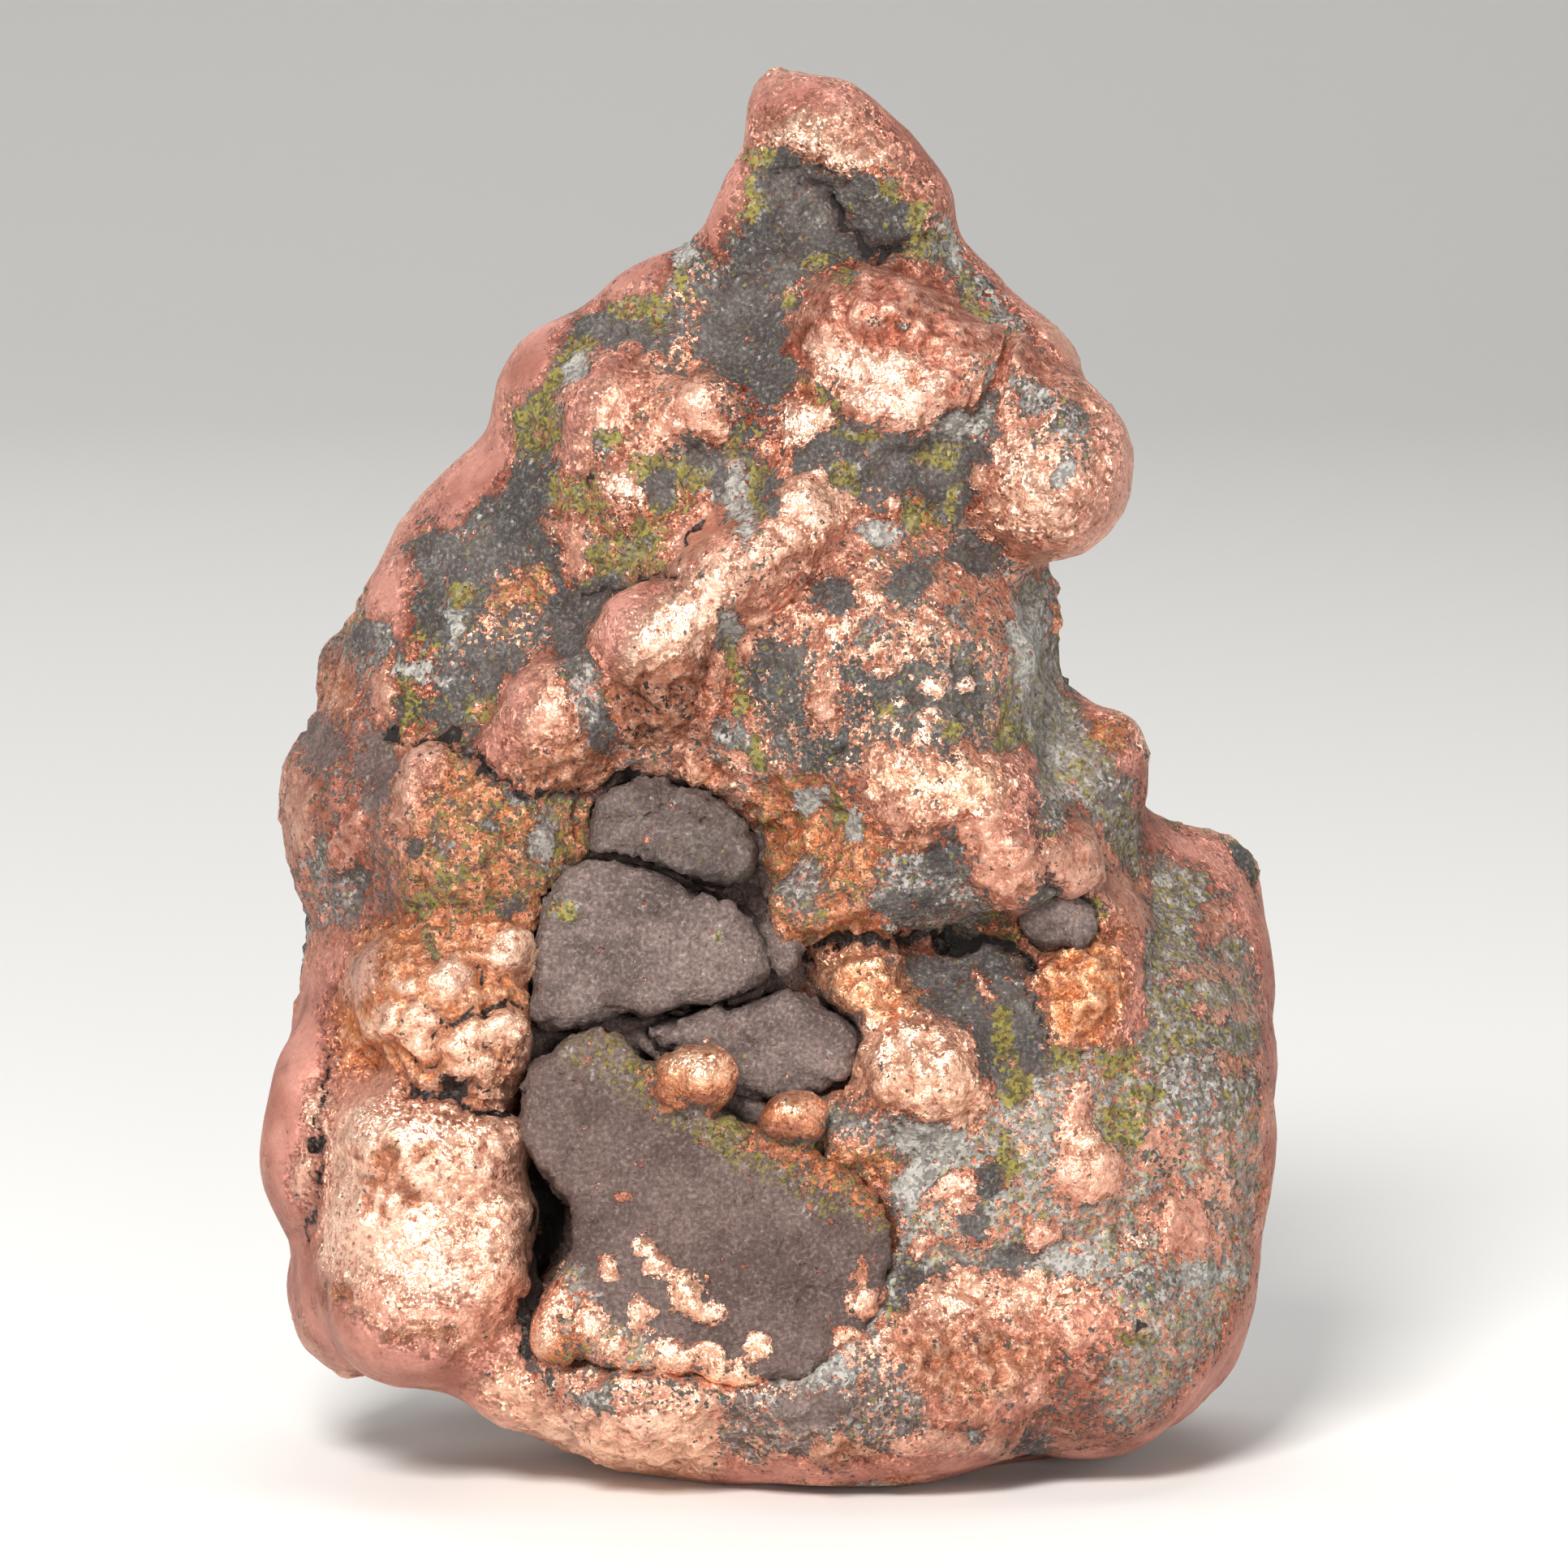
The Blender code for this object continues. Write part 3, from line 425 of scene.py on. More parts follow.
    "knob_low_glow": ("warm", (1048, 1300), (1075, 1268), (1130, 1268), (1180, 1280), (1196, 1320),
        (1180, 1330), (1130, 1310), (1090, 1330), (1060, 1325)),
    # Painted shade under the low knob.
    "knob_low_under": ("ruddy", (1020, 1340), (1050, 1330), (1100, 1345), (1132, 1350), (1150, 1385),
        (1130, 1372), (1072, 1368), (1030, 1352)),
    "spur": ("crust_gold", (1281, 1176), (1317, 1156), (1342, 1144), (1383, 1144), (1402, 1185),
        (1402, 1234), (1382, 1279), (1342, 1293), (1300, 1282), (1280, 1226)),
    "spur_side": ("rim", (1378, 1150), (1400, 1160), (1410, 1200), (1404, 1250), (1384, 1284),
        (1372, 1270), (1388, 1230), (1388, 1180)),
    "ledge_rock": ("stained", (1010, 1352), (1060, 1368), (1120, 1372), (1150, 1395), (1140, 1425),
        (1110, 1432), (1060, 1410), (1020, 1390)),
    "ledge_copper": ("crust", (1005, 1395), (1040, 1402), (1080, 1420), (1120, 1430), (1100, 1460),
        (1060, 1462), (1030, 1440)),
    "ledge_rust": ("ruddy", (1020, 1430), (1060, 1458), (1100, 1470), (1110, 1500), (1100, 1560),
        (1085, 1540), (1080, 1490), (1040, 1465)),
    "lower_right": ("hazy", (1200, 1400), (1220, 1350), (1300, 1330), (1345, 1295), (1395, 1290),
        (1430, 1380), (1480, 1400), (1530, 1380), (1556, 1340), (1556, 1400), (1552, 1520), (1530, 1600),
        (1480, 1680), (1400, 1640), (1340, 1585), (1268, 1572), (1215, 1562), (1150, 1560), (1110, 1540),
        (1130, 1480), (1190, 1430)),
    "low_copper": ("low_crust", (1093, 1654), (1121, 1593), (1154, 1566), (1215, 1562), (1268, 1572),
        (1334, 1581), (1376, 1630), (1360, 1664), (1304, 1672), (1304, 1730), (1236, 1754), (1179, 1730),
        (1121, 1693)),
    # Painted highlight along the lower copper.
    "low_glow": ("warm", (1125, 1620), (1140, 1585), (1190, 1570), (1230, 1590), (1262, 1570),
        (1290, 1590), (1340, 1590), (1320, 1610), (1260, 1625), (1200, 1625), (1160, 1645)),
    "low_ruddy": ("ruddy", (1093, 1660), (1130, 1640), (1200, 1650), (1300, 1640), (1300, 1680),
        (1240, 1720), (1179, 1728), (1121, 1693)),
    "low_edge": ("stained_copper", (1304, 1680), (1360, 1664), (1400, 1640), (1470, 1680), (1440, 1740),
        (1380, 1790), (1290, 1798), (1200, 1800), (1140, 1792), (1140, 1756), (1236, 1756), (1304, 1735)),
    "low_haze": ("hazy", (1380, 1655), (1440, 1630), (1500, 1640), (1520, 1660), (1480, 1700), (1440, 1745),
        (1390, 1770), (1360, 1740), (1360, 1690)),
    "bottom_rim": ("rim", (1380, 1780), (1300, 1786), (1180, 1792), (1060, 1800), (900, 1812),
        (880, 1830), (1010, 1826), (1180, 1812), (1300, 1812), (1400, 1800), (1470, 1750), (1530, 1680),
        (1572, 1580), (1582, 1480), (1560, 1480), (1545, 1580), (1500, 1660), (1440, 1735)),
}

# Round spots on the nugget: a kind, middle across and down, half widths, lean in degrees, rise in mm.
SPOTS = {
    "neck_olive_a": ("olive", 937, 191, 19, 11, 0, 0.0),
    "neck_olive_b": ("olive", 930, 248, 12, 28, 10, 0.0),
    "neck_olive_c": ("olive", 923, 222, 8, 16, 0, 0.0),
    "neck_olive_d": ("olive", 1097, 235, 17, 13, 0, 0.0),
    "neck_olive_e": ("olive", 1128, 265, 18, 13, -35, 0.0),
    "neck_olive_f": ("olive", 1141, 296, 15, 13, 0, 0.0),
    "neck_olive_g": ("olive", 1128, 312, 22, 8, 0, 0.0),
    "neck_olive_h": ("olive", 1007, 322, 14, 9, 0, 0.0),
    "neck_olive_i": ("olive", 1043, 343, 11, 13, 0, 0.0),
    "neck_olive_j": ("olive", 970, 372, 9, 11, 0, 0.0),
    "neck_olive_k": ("olive", 843, 345, 9, 24, 0, 0.0),
    "left_neck_chalk": ("chalk", 846, 315, 13, 20, 25, 0.0),
    "right_strip_olive_a": ("olive", 1206, 382, 12, 20, -30, 0.0),
    "right_strip_olive_b": ("olive", 1240, 440, 12, 10, 0, 0.0),
    "right_strip_olive_c": ("olive", 1190, 345, 7, 18, -20, 0.0),
    "brow_speck_a": ("mottled", 1186, 462, 16, 22, 20, 0.0),
    "brow_speck_b": ("chalk", 1202, 478, 8, 12, 0, 0.0),
    "brow_speck_c": ("chalk", 1110, 402, 5, 5, 0, 0.0),
    "brow_pit": ("ruddy", 1128, 468, 5, 8, 20, -0.1),
    "knob_rock_a": ("stained", 1272, 500, 22, 17, 0, 0.0),
    "knob_rock_b": ("stained", 1318, 530, 18, 24, 10, 0.0),
    "knob_chalk": ("chalk", 1313, 580, 12, 16, 0, 0.0),
    "knob_pit": ("ruddy", 1326, 622, 5, 14, 30, -0.1),
    "under_brow_chalk_b": ("chalk", 1180, 524, 26, 12, 0, 0.0),
    "under_brow_olive_a": ("olive", 1158, 562, 26, 14, -10, 0.0),
    "under_brow_olive_b": ("olive", 1170, 612, 13, 18, 0, 0.0),
    "under_brow_olive_c": ("olive", 1040, 590, 20, 18, 0, 0.0),
    "under_brow_olive_d": ("olive", 1060, 535, 22, 8, 0, 0.0),
    # Beads with painted highlights.
    "bead_brow": ("bright", 984, 520, 26, 24, 20, 0.3),
    "bead_brow_b": ("bright", 1014, 512, 18, 13, 0, 0.22),
    "bead_centre": ("bright", 990, 606, 30, 18, -10, 0.3),
    "bead_centre_b": ("bright", 1016, 634, 26, 20, -30, 0.24),
    "bead_centre_c": ("lobe", 965, 660, 34, 14, 25, 0.18),
    "bead_centre_d": ("lobe", 1058, 640, 20, 10, 0, 0.15),
    "bead_centre_e": ("lobe", 1205, 592, 12, 18, 0, 0.2),
    "bead_centre_f": ("lobe", 1100, 622, 14, 8, 0, 0.15),
    "vein_olive_a": ("olive", 927, 588, 9, 26, -12, 0.0),
    "vein_olive_b": ("olive", 936, 622, 10, 18, -10, 0.0),
    "vein_rock": ("basalt", 951, 612, 12, 26, 0, 0.0),
    "vein_rock_b": ("basalt", 884, 585, 10, 30, -5, 0.0),
    "left_rock_olive_a": ("olive", 776, 378, 28, 11, 10, 0.0),
    "left_rock_olive_b": ("olive", 810, 386, 10, 18, 0, 0.0),
    "left_rock_olive_c": ("olive", 718, 432, 16, 10, 0, 0.0),
    "left_rock_chalk": ("chalk", 712, 456, 14, 13, 0, 0.0),
    "cheek_bead": ("lobe", 862, 500, 28, 26, 0, 0.35),
    "cheek_bead_b": ("lobe", 886, 530, 16, 14, 0, 0.2),
    # A bead with a painted highlight.
    "cheek_bead_c": ("bright", 772, 600, 26, 24, 0, 0.3),
    "cheek_bead_d": ("lobe", 820, 528, 20, 16, 0, 0.2),
    "cheek_olive_a": ("olive", 800, 575, 24, 16, 20, 0.0),
    "cheek_olive_b": ("olive", 752, 545, 16, 10, 0, 0.0),
    "cheek_olive_c": ("olive", 900, 545, 10, 18, 0, 0.0),
    "shoulder_olive_a": ("olive", 662, 520, 24, 30, 20, 0.0),
    "shoulder_olive_b": ("olive_mix", 700, 612, 20, 26, 0, 0.0),
    "middle_olive_a": ("olive", 830, 578, 26, 14, 15, 0.0),
    "middle_olive_b": ("olive", 782, 668, 20, 26, 10, 0.0),
    "middle_olive_c": ("olive", 742, 690, 16, 18, 0, 0.0),
    "middle_olive_d": ("olive", 862, 588, 14, 20, 0, 0.0),
    "middle_rock_c": ("basalt", 862, 560, 18, 20, 0, 0.0),
    "middle_rock_d": ("basalt", 724, 748, 18, 24, 0, 0.0),
    "left_olive_low": ("olive_mix", 600, 872, 26, 20, 0, 0.0),
    # Painted shadow in a small hole.
    "cheek_hole": ("pit", 727, 590, 5, 9, 10, 0.0),
    "left_rock_bead_a": ("crust", 622, 737, 20, 18, 0, 0.15),
    "left_rock_bead_b": ("crust", 660, 720, 18, 22, 0, 0.15),
    "left_rock_olive_d": ("olive", 570, 732, 16, 14, 0, 0.0),
    "left_rock_chalk_b": ("chalk", 562, 775, 10, 26, 10, 0.0),
    "left_rock_chalk_c": ("chalk", 520, 830, 30, 9, 10, 0.0),
    "left_patch_b": ("stained", 456, 796, 34, 32, 0, 0.0),
    "left_patch_e": ("basalt", 448, 782, 16, 18, 0, 0.0),
    "left_patch_c": ("stained", 440, 830, 24, 14, 0, 0.0),
    "left_patch_d": ("lobe", 478, 850, 14, 36, 0, 0.1),
    "mid_rock": ("basalt", 815, 600, 14, 22, 0, 0.0),
    "mid_rock_b": ("basalt", 745, 718, 24, 12, -15, 0.0),
    "ridge_chalk": ("chalk", 893, 772, 17, 26, -5, 0.0),
    "ridge_olive": ("olive", 900, 815, 10, 30, -8, 0.0),
    "ridge_olive_b": ("olive", 905, 868, 13, 16, 0, 0.0),
    "ridge_foot_chalk": ("stained", 900, 905, 24, 16, 0, 0.0),
    "ridge_foot_bead": ("ruddy", 868, 950, 28, 18, 0, 0.15),
    "ridge_foot_bead_b": ("ruddy", 785, 905, 34, 10, 0, 0.1),
    "belly_rock_a": ("basalt", 1028, 735, 26, 24, -20, 0.0),
    "belly_rock_b": ("basalt", 1120, 712, 32, 20, -35, 0.0),
    "belly_rock_c": ("basalt", 1196, 684, 34, 22, 0, 0.0),
    "belly_rock_d": ("stained", 1178, 758, 16, 18, 0, 0.0),
    "belly_rock_e": ("stained", 1070, 782, 22, 12, -20, 0.0),
    "belly_rock_f": ("basalt", 960, 806, 24, 14, 0, 0.0),
    "belly_dark_a": ("rock_flecked", 960, 850, 28, 46, -15, 0.0),
    "belly_dark_b": ("rock_flecked", 1110, 860, 40, 34, 10, 0.0),
    "belly_dark_c": ("rock_flecked", 1185, 850, 30, 44, 0, 0.0),
    "belly_dark_d": ("rock_flecked", 1020, 925, 36, 18, 0, 0.0),
    "belly_dark_e": ("rock_flecked", 1060, 830, 24, 12, 10, 0.0),
    # Flecks with painted highlights.
    "belly_fleck_a": ("bright", 1150, 842, 14, 12, 0, 0.18),
    "belly_fleck_b": ("bright", 1192, 846, 14, 10, 0, 0.18),
    "belly_fleck_c": ("bright", 1138, 902, 10, 12, 0, 0.15),
    "belly_fleck_d": ("bright", 1102, 870, 9, 6, 0, 0.12),
    "belly_fleck_e": ("lobe", 1085, 824, 22, 8, 12, 0.12),
    "belly_fleck_f": ("lobe", 1018, 872, 24, 28, 0, 0.12),
    "belly_fleck_g": ("lobe", 1034, 842, 14, 10, 0, 0.12),
    "belly_olive_a": ("olive", 1170, 905, 13, 16, -20, 0.0),
    "belly_olive_b": ("olive", 1190, 818, 9, 9, 0, 0.0),
    "belly_olive_c": ("olive", 1088, 880, 9, 13, 0, 0.0),
    "belly_olive_d": ("olive", 935, 930, 12, 22, -15, 0.0),
    "belly_olive_e": ("olive", 1240, 900, 14, 26, 0, 0.0),
    "belly_top_olive": ("olive", 1122, 640, 14, 20, -20, 0.0),
    "belly_top_chalk": ("chalk", 1084, 655, 26, 14, 20, 0.0),
    "under_lip_chalk": ("chalk", 1056, 1018, 12, 28, -20, 0.0),
    "under_lip_chalk_b": ("chalk", 1000, 985, 22, 12, 0, 0.0),
    "under_lip_olive": ("olive", 1036, 1000, 10, 22, -10, 0.0),
    "under_lip_rock": ("stained", 1000, 1090, 18, 26, 0, 0.0),
    "under_lip_red": ("ruddy", 1128, 1030, 30, 12, 0, 0.1),
    "lip_rock_a": ("basalt", 1160, 1060, 22, 28, -20, 0.0),
    "lip_rock_b": ("basalt", 1125, 1112, 40, 16, 0, 0.0),
    "lip_bead": ("lobe", 1316, 1066, 36, 34, 0, 0.25),
    "lip_bead_b": ("crust", 1230, 1145, 22, 12, 0, 0.1),
    "side_strip_chalk": ("chalk", 1262, 790, 12, 44, 4, 0.0),
    "side_strip_rust": ("stained", 1292, 770, 8, 50, -4, 0.0),
    "hip_orange": ("crust", 1362, 905, 22, 26, -30, 0.0),
    "hip_spot_a": ("stained", 1368, 970, 16, 18, 0, 0.0),
    "hip_spot_b": ("basalt", 1370, 985, 10, 8, 0, 0.0),
    "hip_spot_c": ("stained", 1295, 1000, 16, 18, 0, 0.0),
    "back_lobe_bead": ("lobe", 1492, 1138, 22, 28, 20, 0.2),
    "back_lobe_rust_a": ("mottled", 1480, 1200, 50, 14, -5, 0.0),
    "back_lobe_rust_b": ("mottled", 1510, 1250, 40, 10, -5, 0.0),
    "back_lobe_rust_c": ("mottled", 1520, 1310, 34, 14, 5, 0.0),
    "left_outer_a": ("deep_red", 430, 1035, 24, 44, 15, 0.15),
    "left_outer_b": ("brown_rock", 464, 948, 20, 44, 0, 0.0),
    "left_outer_e": ("brown_rock", 396, 918, 22, 36, -20, 0.0),
    "left_outer_f": ("basalt", 436, 1096, 18, 36, -15, 0.0),
    "left_outer_g": ("ruddy", 420, 850, 20, 34, 0, 0.0),
    "left_outer_h": ("stained", 392, 1060, 14, 40, -15, 0.0),
    "left_outer_c": ("stained", 425, 1110, 20, 30, 15, 0.0),
    "left_outer_d": ("lobe", 370, 1000, 16, 50, 5, 0.1),
    "crust_chalk": ("chalk", 674, 1040, 17, 30, 12, 0.0),
    "crust_olive_a": ("olive", 695, 1050, 12, 16, 0, 0.0),
    "crust_olive_b": ("olive", 521, 1112, 12, 26, 0, 0.0),
    "crust_olive_c": ("olive", 556, 1076, 16, 9, 0, 0.0),
    "crust_olive_d": ("olive", 530, 1160, 9, 18, 0, 0.0),
    "crust_rock_a": ("basalt", 628, 1118, 17, 11, 0, 0.0),
    "crust_rock_b": ("basalt", 514, 1040, 8, 12, 0, 0.0),
    "crust_rock_c": ("stained", 600, 1012, 12, 9, 0, 0.0),
    "crust_rock_d": ("stained", 546, 1040, 13, 9, 0, 0.0),
    "flank_chalk": ("stained", 724, 860, 18, 44, -10, 0.0),
    "flank_rock": ("basalt", 738, 905, 12, 18, 0, 0.0),
    "crumb_a": ("warm", 555, 1203, 26, 26, 0, 0.4),
    "crumb_b": ("warm", 632, 1172, 32, 26, 30, 0.45),
    "crumb_c": ("warm", 476, 1260, 16, 19, 0, 0.3),
    "crumb_d": ("warm", 518, 1270, 20, 28, 10, 0.35),
    "crumb_e": ("warm", 570, 1285, 34, 20, 0, 0.45),
    "crumb_f": ("warm", 618, 1270, 26, 24, 0, 0.4),
    "crumb_g": ("warm", 578, 1320, 34, 15, -12, 0.4),
    "crumb_h": ("lobe", 450, 1200, 20, 36, 20, 0.2),
    "crumb_i": ("warm", 606, 1352, 24, 16, -20, 0.35),
    "crumb_j": ("ruddy", 640, 1352, 14, 24, 0, 0.3),
    "crumb_k": ("warm", 500, 1218, 14, 12, 0, 0.2),
    "crumb_brown": ("ruddy", 520, 1338, 34, 14, 0, 0.0),
    # Painted highlights on the side lobe.
    "side_lobe_glow": ("bright", 391, 1364, 13, 24, 5, 0.4),
    "side_lobe_glow_b": ("lobe", 374, 1440, 14, 34, 5, 0.4),
    "pillar_stain": ("ruddy", 484, 1444, 18, 32, -10, 0.0),
    "pillar_stain_a": ("stain_dark", 478, 1422, 15, 22, 15, 0.0),
    "pillar_stain_b": ("stain_dark", 500, 1462, 10, 24, -30, 0.0),
    "pillar_stain_c": ("stain_dark", 462, 1452, 18, 9, 25, 0.0),
    "pillar_stain_e": ("ruddy", 508, 1484, 20, 9, 10, 0.0),
    "pillar_stain_f": ("ruddy", 524, 1418, 18, 8, -10, 0.0),
    "pillar_stain_g": ("ruddy", 448, 1482, 9, 16, 0, 0.0),
    "pillar_top_hollow": ("ruddy", 556, 1350, 52, 14, 8, -0.3),
    "pillar_corner": ("warm", 618, 1388, 22, 20, 0, 0.3),
    "pillar_stain_h": ("ruddy", 470, 1490, 7, 10, 20, 0.0),
    "pillar_stain_j": ("stain_dark", 446, 1418, 5, 8, 0, 0.0),
    "pillar_stain_i": ("ruddy", 420, 1592, 26, 10, -10, 0.0),
    "pillar_stain_d": ("ruddy", 520, 1640, 40, 10, -5, 0.0),
    # Painted highlights along the front rim.
    "front_rim_glow": ("bright", 700, 1748, 40, 12, -25, 0.2),
    "front_rim_glow_b": ("bright", 800, 1755, 60, 12, 5, 0.2),
    "front_rim_hollow": ("stained", 735, 1722, 26, 14, 0, 0.0),
    "front_purple": ("brown_rock", 1000, 1740, 40, 20, 0, 0.0),
    "between_sliver": ("lobe", 1215, 1216, 8, 30, -25, 0.25),
    "between_sliver_b": ("crust", 1252, 1325, 7, 24, -10, 0.15),
    "between_olive": ("olive_dark", 1235, 1278, 14, 38, -12, 0.0),
    "between_olive_b": ("olive_dark", 1250, 1340, 14, 22, 0, 0.0),
    "lr_copper_a": ("lobe", 1344, 1445, 42, 34, -15, 0.25),
    "lr_copper_b": ("warm", 1330, 1400, 22, 16, 0, 0.25),
    "lr_copper_c": ("lobe", 1328, 1365, 18, 34, 10, 0.2),
    "lr_copper_d": ("lobe", 1458, 1505, 36, 42, -20, 0.2),
    "lr_copper_e": ("lobe", 1282, 1522, 20, 19, 0, 0.25),
    "lr_copper_f": ("lobe", 1178, 1466, 36, 20, -10, 0.2),
    "lr_copper_g": ("warm", 1190, 1490, 16, 14, 0, 0.2),
    "lr_copper_h": ("lobe", 1138, 1532, 13, 13, 0, 0.2),
    "lr_copper_i": ("lobe", 1192, 1528, 26, 11, -8, 0.2),
    # Flecks with painted highlights.
    "lr_copper_j": ("bright", 1072, 1552, 12, 15, 0, 0.2),
    "lr_copper_k": ("bright", 1398, 1526, 12, 13, 0, 0.2),
    "lr_copper_l": ("mottled", 1430, 1420, 30, 30, 0, 0.1),
    "lr_copper_m": ("mottled", 1505, 1465, 18, 34, 0, 0.1),
    "lr_chalk_a": ("chalk", 1318, 1556, 34, 15, 10, 0.0),
    "lr_chalk_b": ("chalk", 1484, 1570, 40, 11, 4, 0.0),
    "lr_chalk_c": ("chalk", 1150, 1400, 40, 16, 10, 0.0),
    "lr_olive_a": ("olive", 1385, 1395, 26, 26, 0, 0.0),
    "lr_olive_b": ("olive", 1240, 1430, 16, 30, 0, 0.0),
    "lr_olive_c": ("olive", 1380, 1310, 22, 18, 0, 0.0),
    "lr_olive_d": ("olive", 1410, 1350, 16, 14, 0, 0.0),
    "lr_rock_a": ("basalt", 1200, 1510, 24, 20, 0, 0.0),
    "lr_rock_b": ("basalt", 1240, 1548, 30, 18, 0, 0.0),
    "lr_rock_c": ("basalt", 1220, 1450, 14, 26, 0, 0.0),
    "lr_rock_d": ("stained", 1470, 1350, 40, 36, 0, 0.0),
    "lr_rock_e": ("stained", 1420, 1580, 40, 22, 0, 0.0),
    "bottom_copper_a": ("ruddy", 1035, 1790, 40, 12, 0, 0.1),
    "bottom_copper_b": ("lobe", 1180, 1780, 70, 16, 0, 0.1),
    "bottom_olive": ("olive", 1400, 1652, 26, 8, 10, 0.0),
    # Painted shadow in a small hole.
    "bottom_pit": ("pit", 1412, 1640, 7, 6, 0, 0.0),
    "bottom_chalk": ("stained", 1200, 1765, 14, 10, 0, 0.0),
    "bottom_rock": ("basalt", 1272, 1778, 20, 12, 0, 0.0),
    # Painted black shadow in small crevices.
    "crevice_a": ("pit", 484, 908, 13, 9, -30, 0.0),
    "crevice_b": ("pit", 554, 906, 16, 6, -15, 0.0),
    "crevice_c": ("pit", 646, 976, 7, 7, 0, 0.0),
    "crevice_d": ("pit", 672, 973, 12, 6, 0, 0.0),
    "crevice_e": ("pit", 775, 952, 13, 7, 10, 0.0),
    "crevice_f": ("pit", 594, 950, 10, 12, -20, 0.0),
    "crevice_g": ("pit", 388, 1408, 11, 10, 0, 0.0),
}

# Broad swells of the front, up or down: middle across and down, half widths, lean, rise in mm.
SWELLS = {
    "brow_to_knob": (1215, 440, 66, 85, -35, 1.0),
    "brow_end": (1252, 470, 36, 52, 0, 0.8),
    "brow_front": (1075, 440, 70, 60, 0, -0.45),
    "knob_top": (1300, 490, 70, 40, 20, 0.35),
    "brow_right": (1180, 462, 50, 72, 15, 0.8),
    "ridge_middle": (935, 722, 96, 66, -36, 0.5),
    "pocket_side": (985, 1150, 50, 95, 10, 1.5),
    "pocket_low_side": (1040, 1400, 60, 60, 30, 0.6),
    "pocket_front": (840, 1722, 230, 34, 2, 0.7),
    "pocket_front_right": (1050, 1640, 50, 90, 30, 0.5),
    "pillar_right_top": (615, 1410, 60, 60, 0, 0.9),
    "pillar_right_low": (615, 1560, 55, 80, 0, 0.8),
    "pillar_right_middle": (634, 1488, 46, 56, 0, 0.9),
    "pillar_left_top": (440, 1390, 50, 60, 0, 0.5),
    "pillar_middle": (520, 1500, 90, 110, 0, -0.45),
}

# Cracks in the nugget, each with painted shade along it: width in steps, depth in mm, then the line.
CRACKS = {
    "crown_crack": (4, 0.2, (975, 220), (1000, 236), (1022, 256), (1032, 266)),
    "crown_ledge": (8, 0.6, (1024, 258), (1040, 276), (1062, 296), (1090, 309), (1112, 312)),
    "crown_crack_b": (5, 0.2, (1012, 205), (1030, 222), (1050, 232)),
    "ridge_crack": (6, 0.3, (720, 735), (752, 722), (790, 708), (822, 704), (836, 714), (838, 690),
        (848, 664), (862, 640)),
    "under_brow": (5, 0.15, (1020, 532), (1040, 520), (1060, 536)),
    "shoulder_crack": (4, 0.1, (1196, 424), (1226, 436), (1250, 456), (1262, 474)),
    "belly_crack": (10, 0.6, (1000, 1160), (1030, 1158), (1070, 1163), (1105, 1162), (1145, 1154),
        (1175, 1160), (1215, 1162), (1245, 1170), (1262, 1180)),
    "pillar_crack": (8, 0.2, (404, 1300), (398, 1340), (396, 1380), (394, 1420), (386, 1470),
        (370, 1520)),
    "flank_crack": (7, 0.25, (470, 905), (500, 920), (540, 905), (590, 925), (602, 950), (640, 978),
        (690, 985), (733, 980), (770, 955)),
    "crumb_gap_a": (6, 0.2, (498, 1236), (520, 1246), (545, 1256), (552, 1262)),
    "crumb_gap_b": (5, 0.2, (540, 1262), (536, 1290), (542, 1318)),
    "crumb_gap_c": (5, 0.2, (600, 1252), (596, 1272), (604, 1300), (624, 1308), (640, 1300)),
    "crumb_gap_d": (5, 0.25, (590, 1180), (598, 1200), (590, 1226)),
    "crumb_gap_e": (6, 0.2, (500, 1300), (520, 1312), (544, 1318), (575, 1338), (600, 1336), (628, 1330)),
    "pillar_top_gap": (8, 0.35, (500, 1342), (530, 1348), (560, 1356), (590, 1372), (625, 1376)),
    "spur_crack": (6, 0.2, (1270, 1180), (1268, 1210), (1280, 1250), (1300, 1290), (1340, 1300)),
    "hip_crack": (5, 0.15, (1276, 1000), (1282, 1040), (1284, 1070), (1290, 1100), (1320, 1108),
        (1350, 1096), (1366, 1070)),
}

# Marks on the low block of the pocket, in the same way.
LOW_PATCHES = {
    "low_face": ("shade", (600, 1200), (1140, 1330), (1140, 1800), (600, 1800)),
    "ledge": ("ledge_skin", (684, 1270), (704, 1246), (740, 1238), (775, 1252), (802, 1290), (832, 1328),
        (880, 1366), (930, 1386), (990, 1402), (1050, 1430), (1115, 1470), (1115, 1524), (1060, 1518),
        (1000, 1494), (940, 1470), (880, 1424), (812, 1382), (735, 1334), (690, 1310)),
    "ledge_copper": ("crust", (920, 1386), (1000, 1420), (1060, 1446), (1105, 1478), (1110, 1540),
        (1085, 1520), (1050, 1478), (980, 1446), (925, 1410)),
    "block_foot": ("foot_crust", (655, 1560), (700, 1560), (740, 1620), (800, 1650), (900, 1700),
        (960, 1700), (1040, 1680), (1080, 1620), (1100, 1700), (1000, 1780), (700, 1780), (655, 1700)),
    "block_foot_left": ("hazy", (655, 1600), (700, 1570), (740, 1600), (730, 1660), (690, 1700),
        (655, 1700)),
}
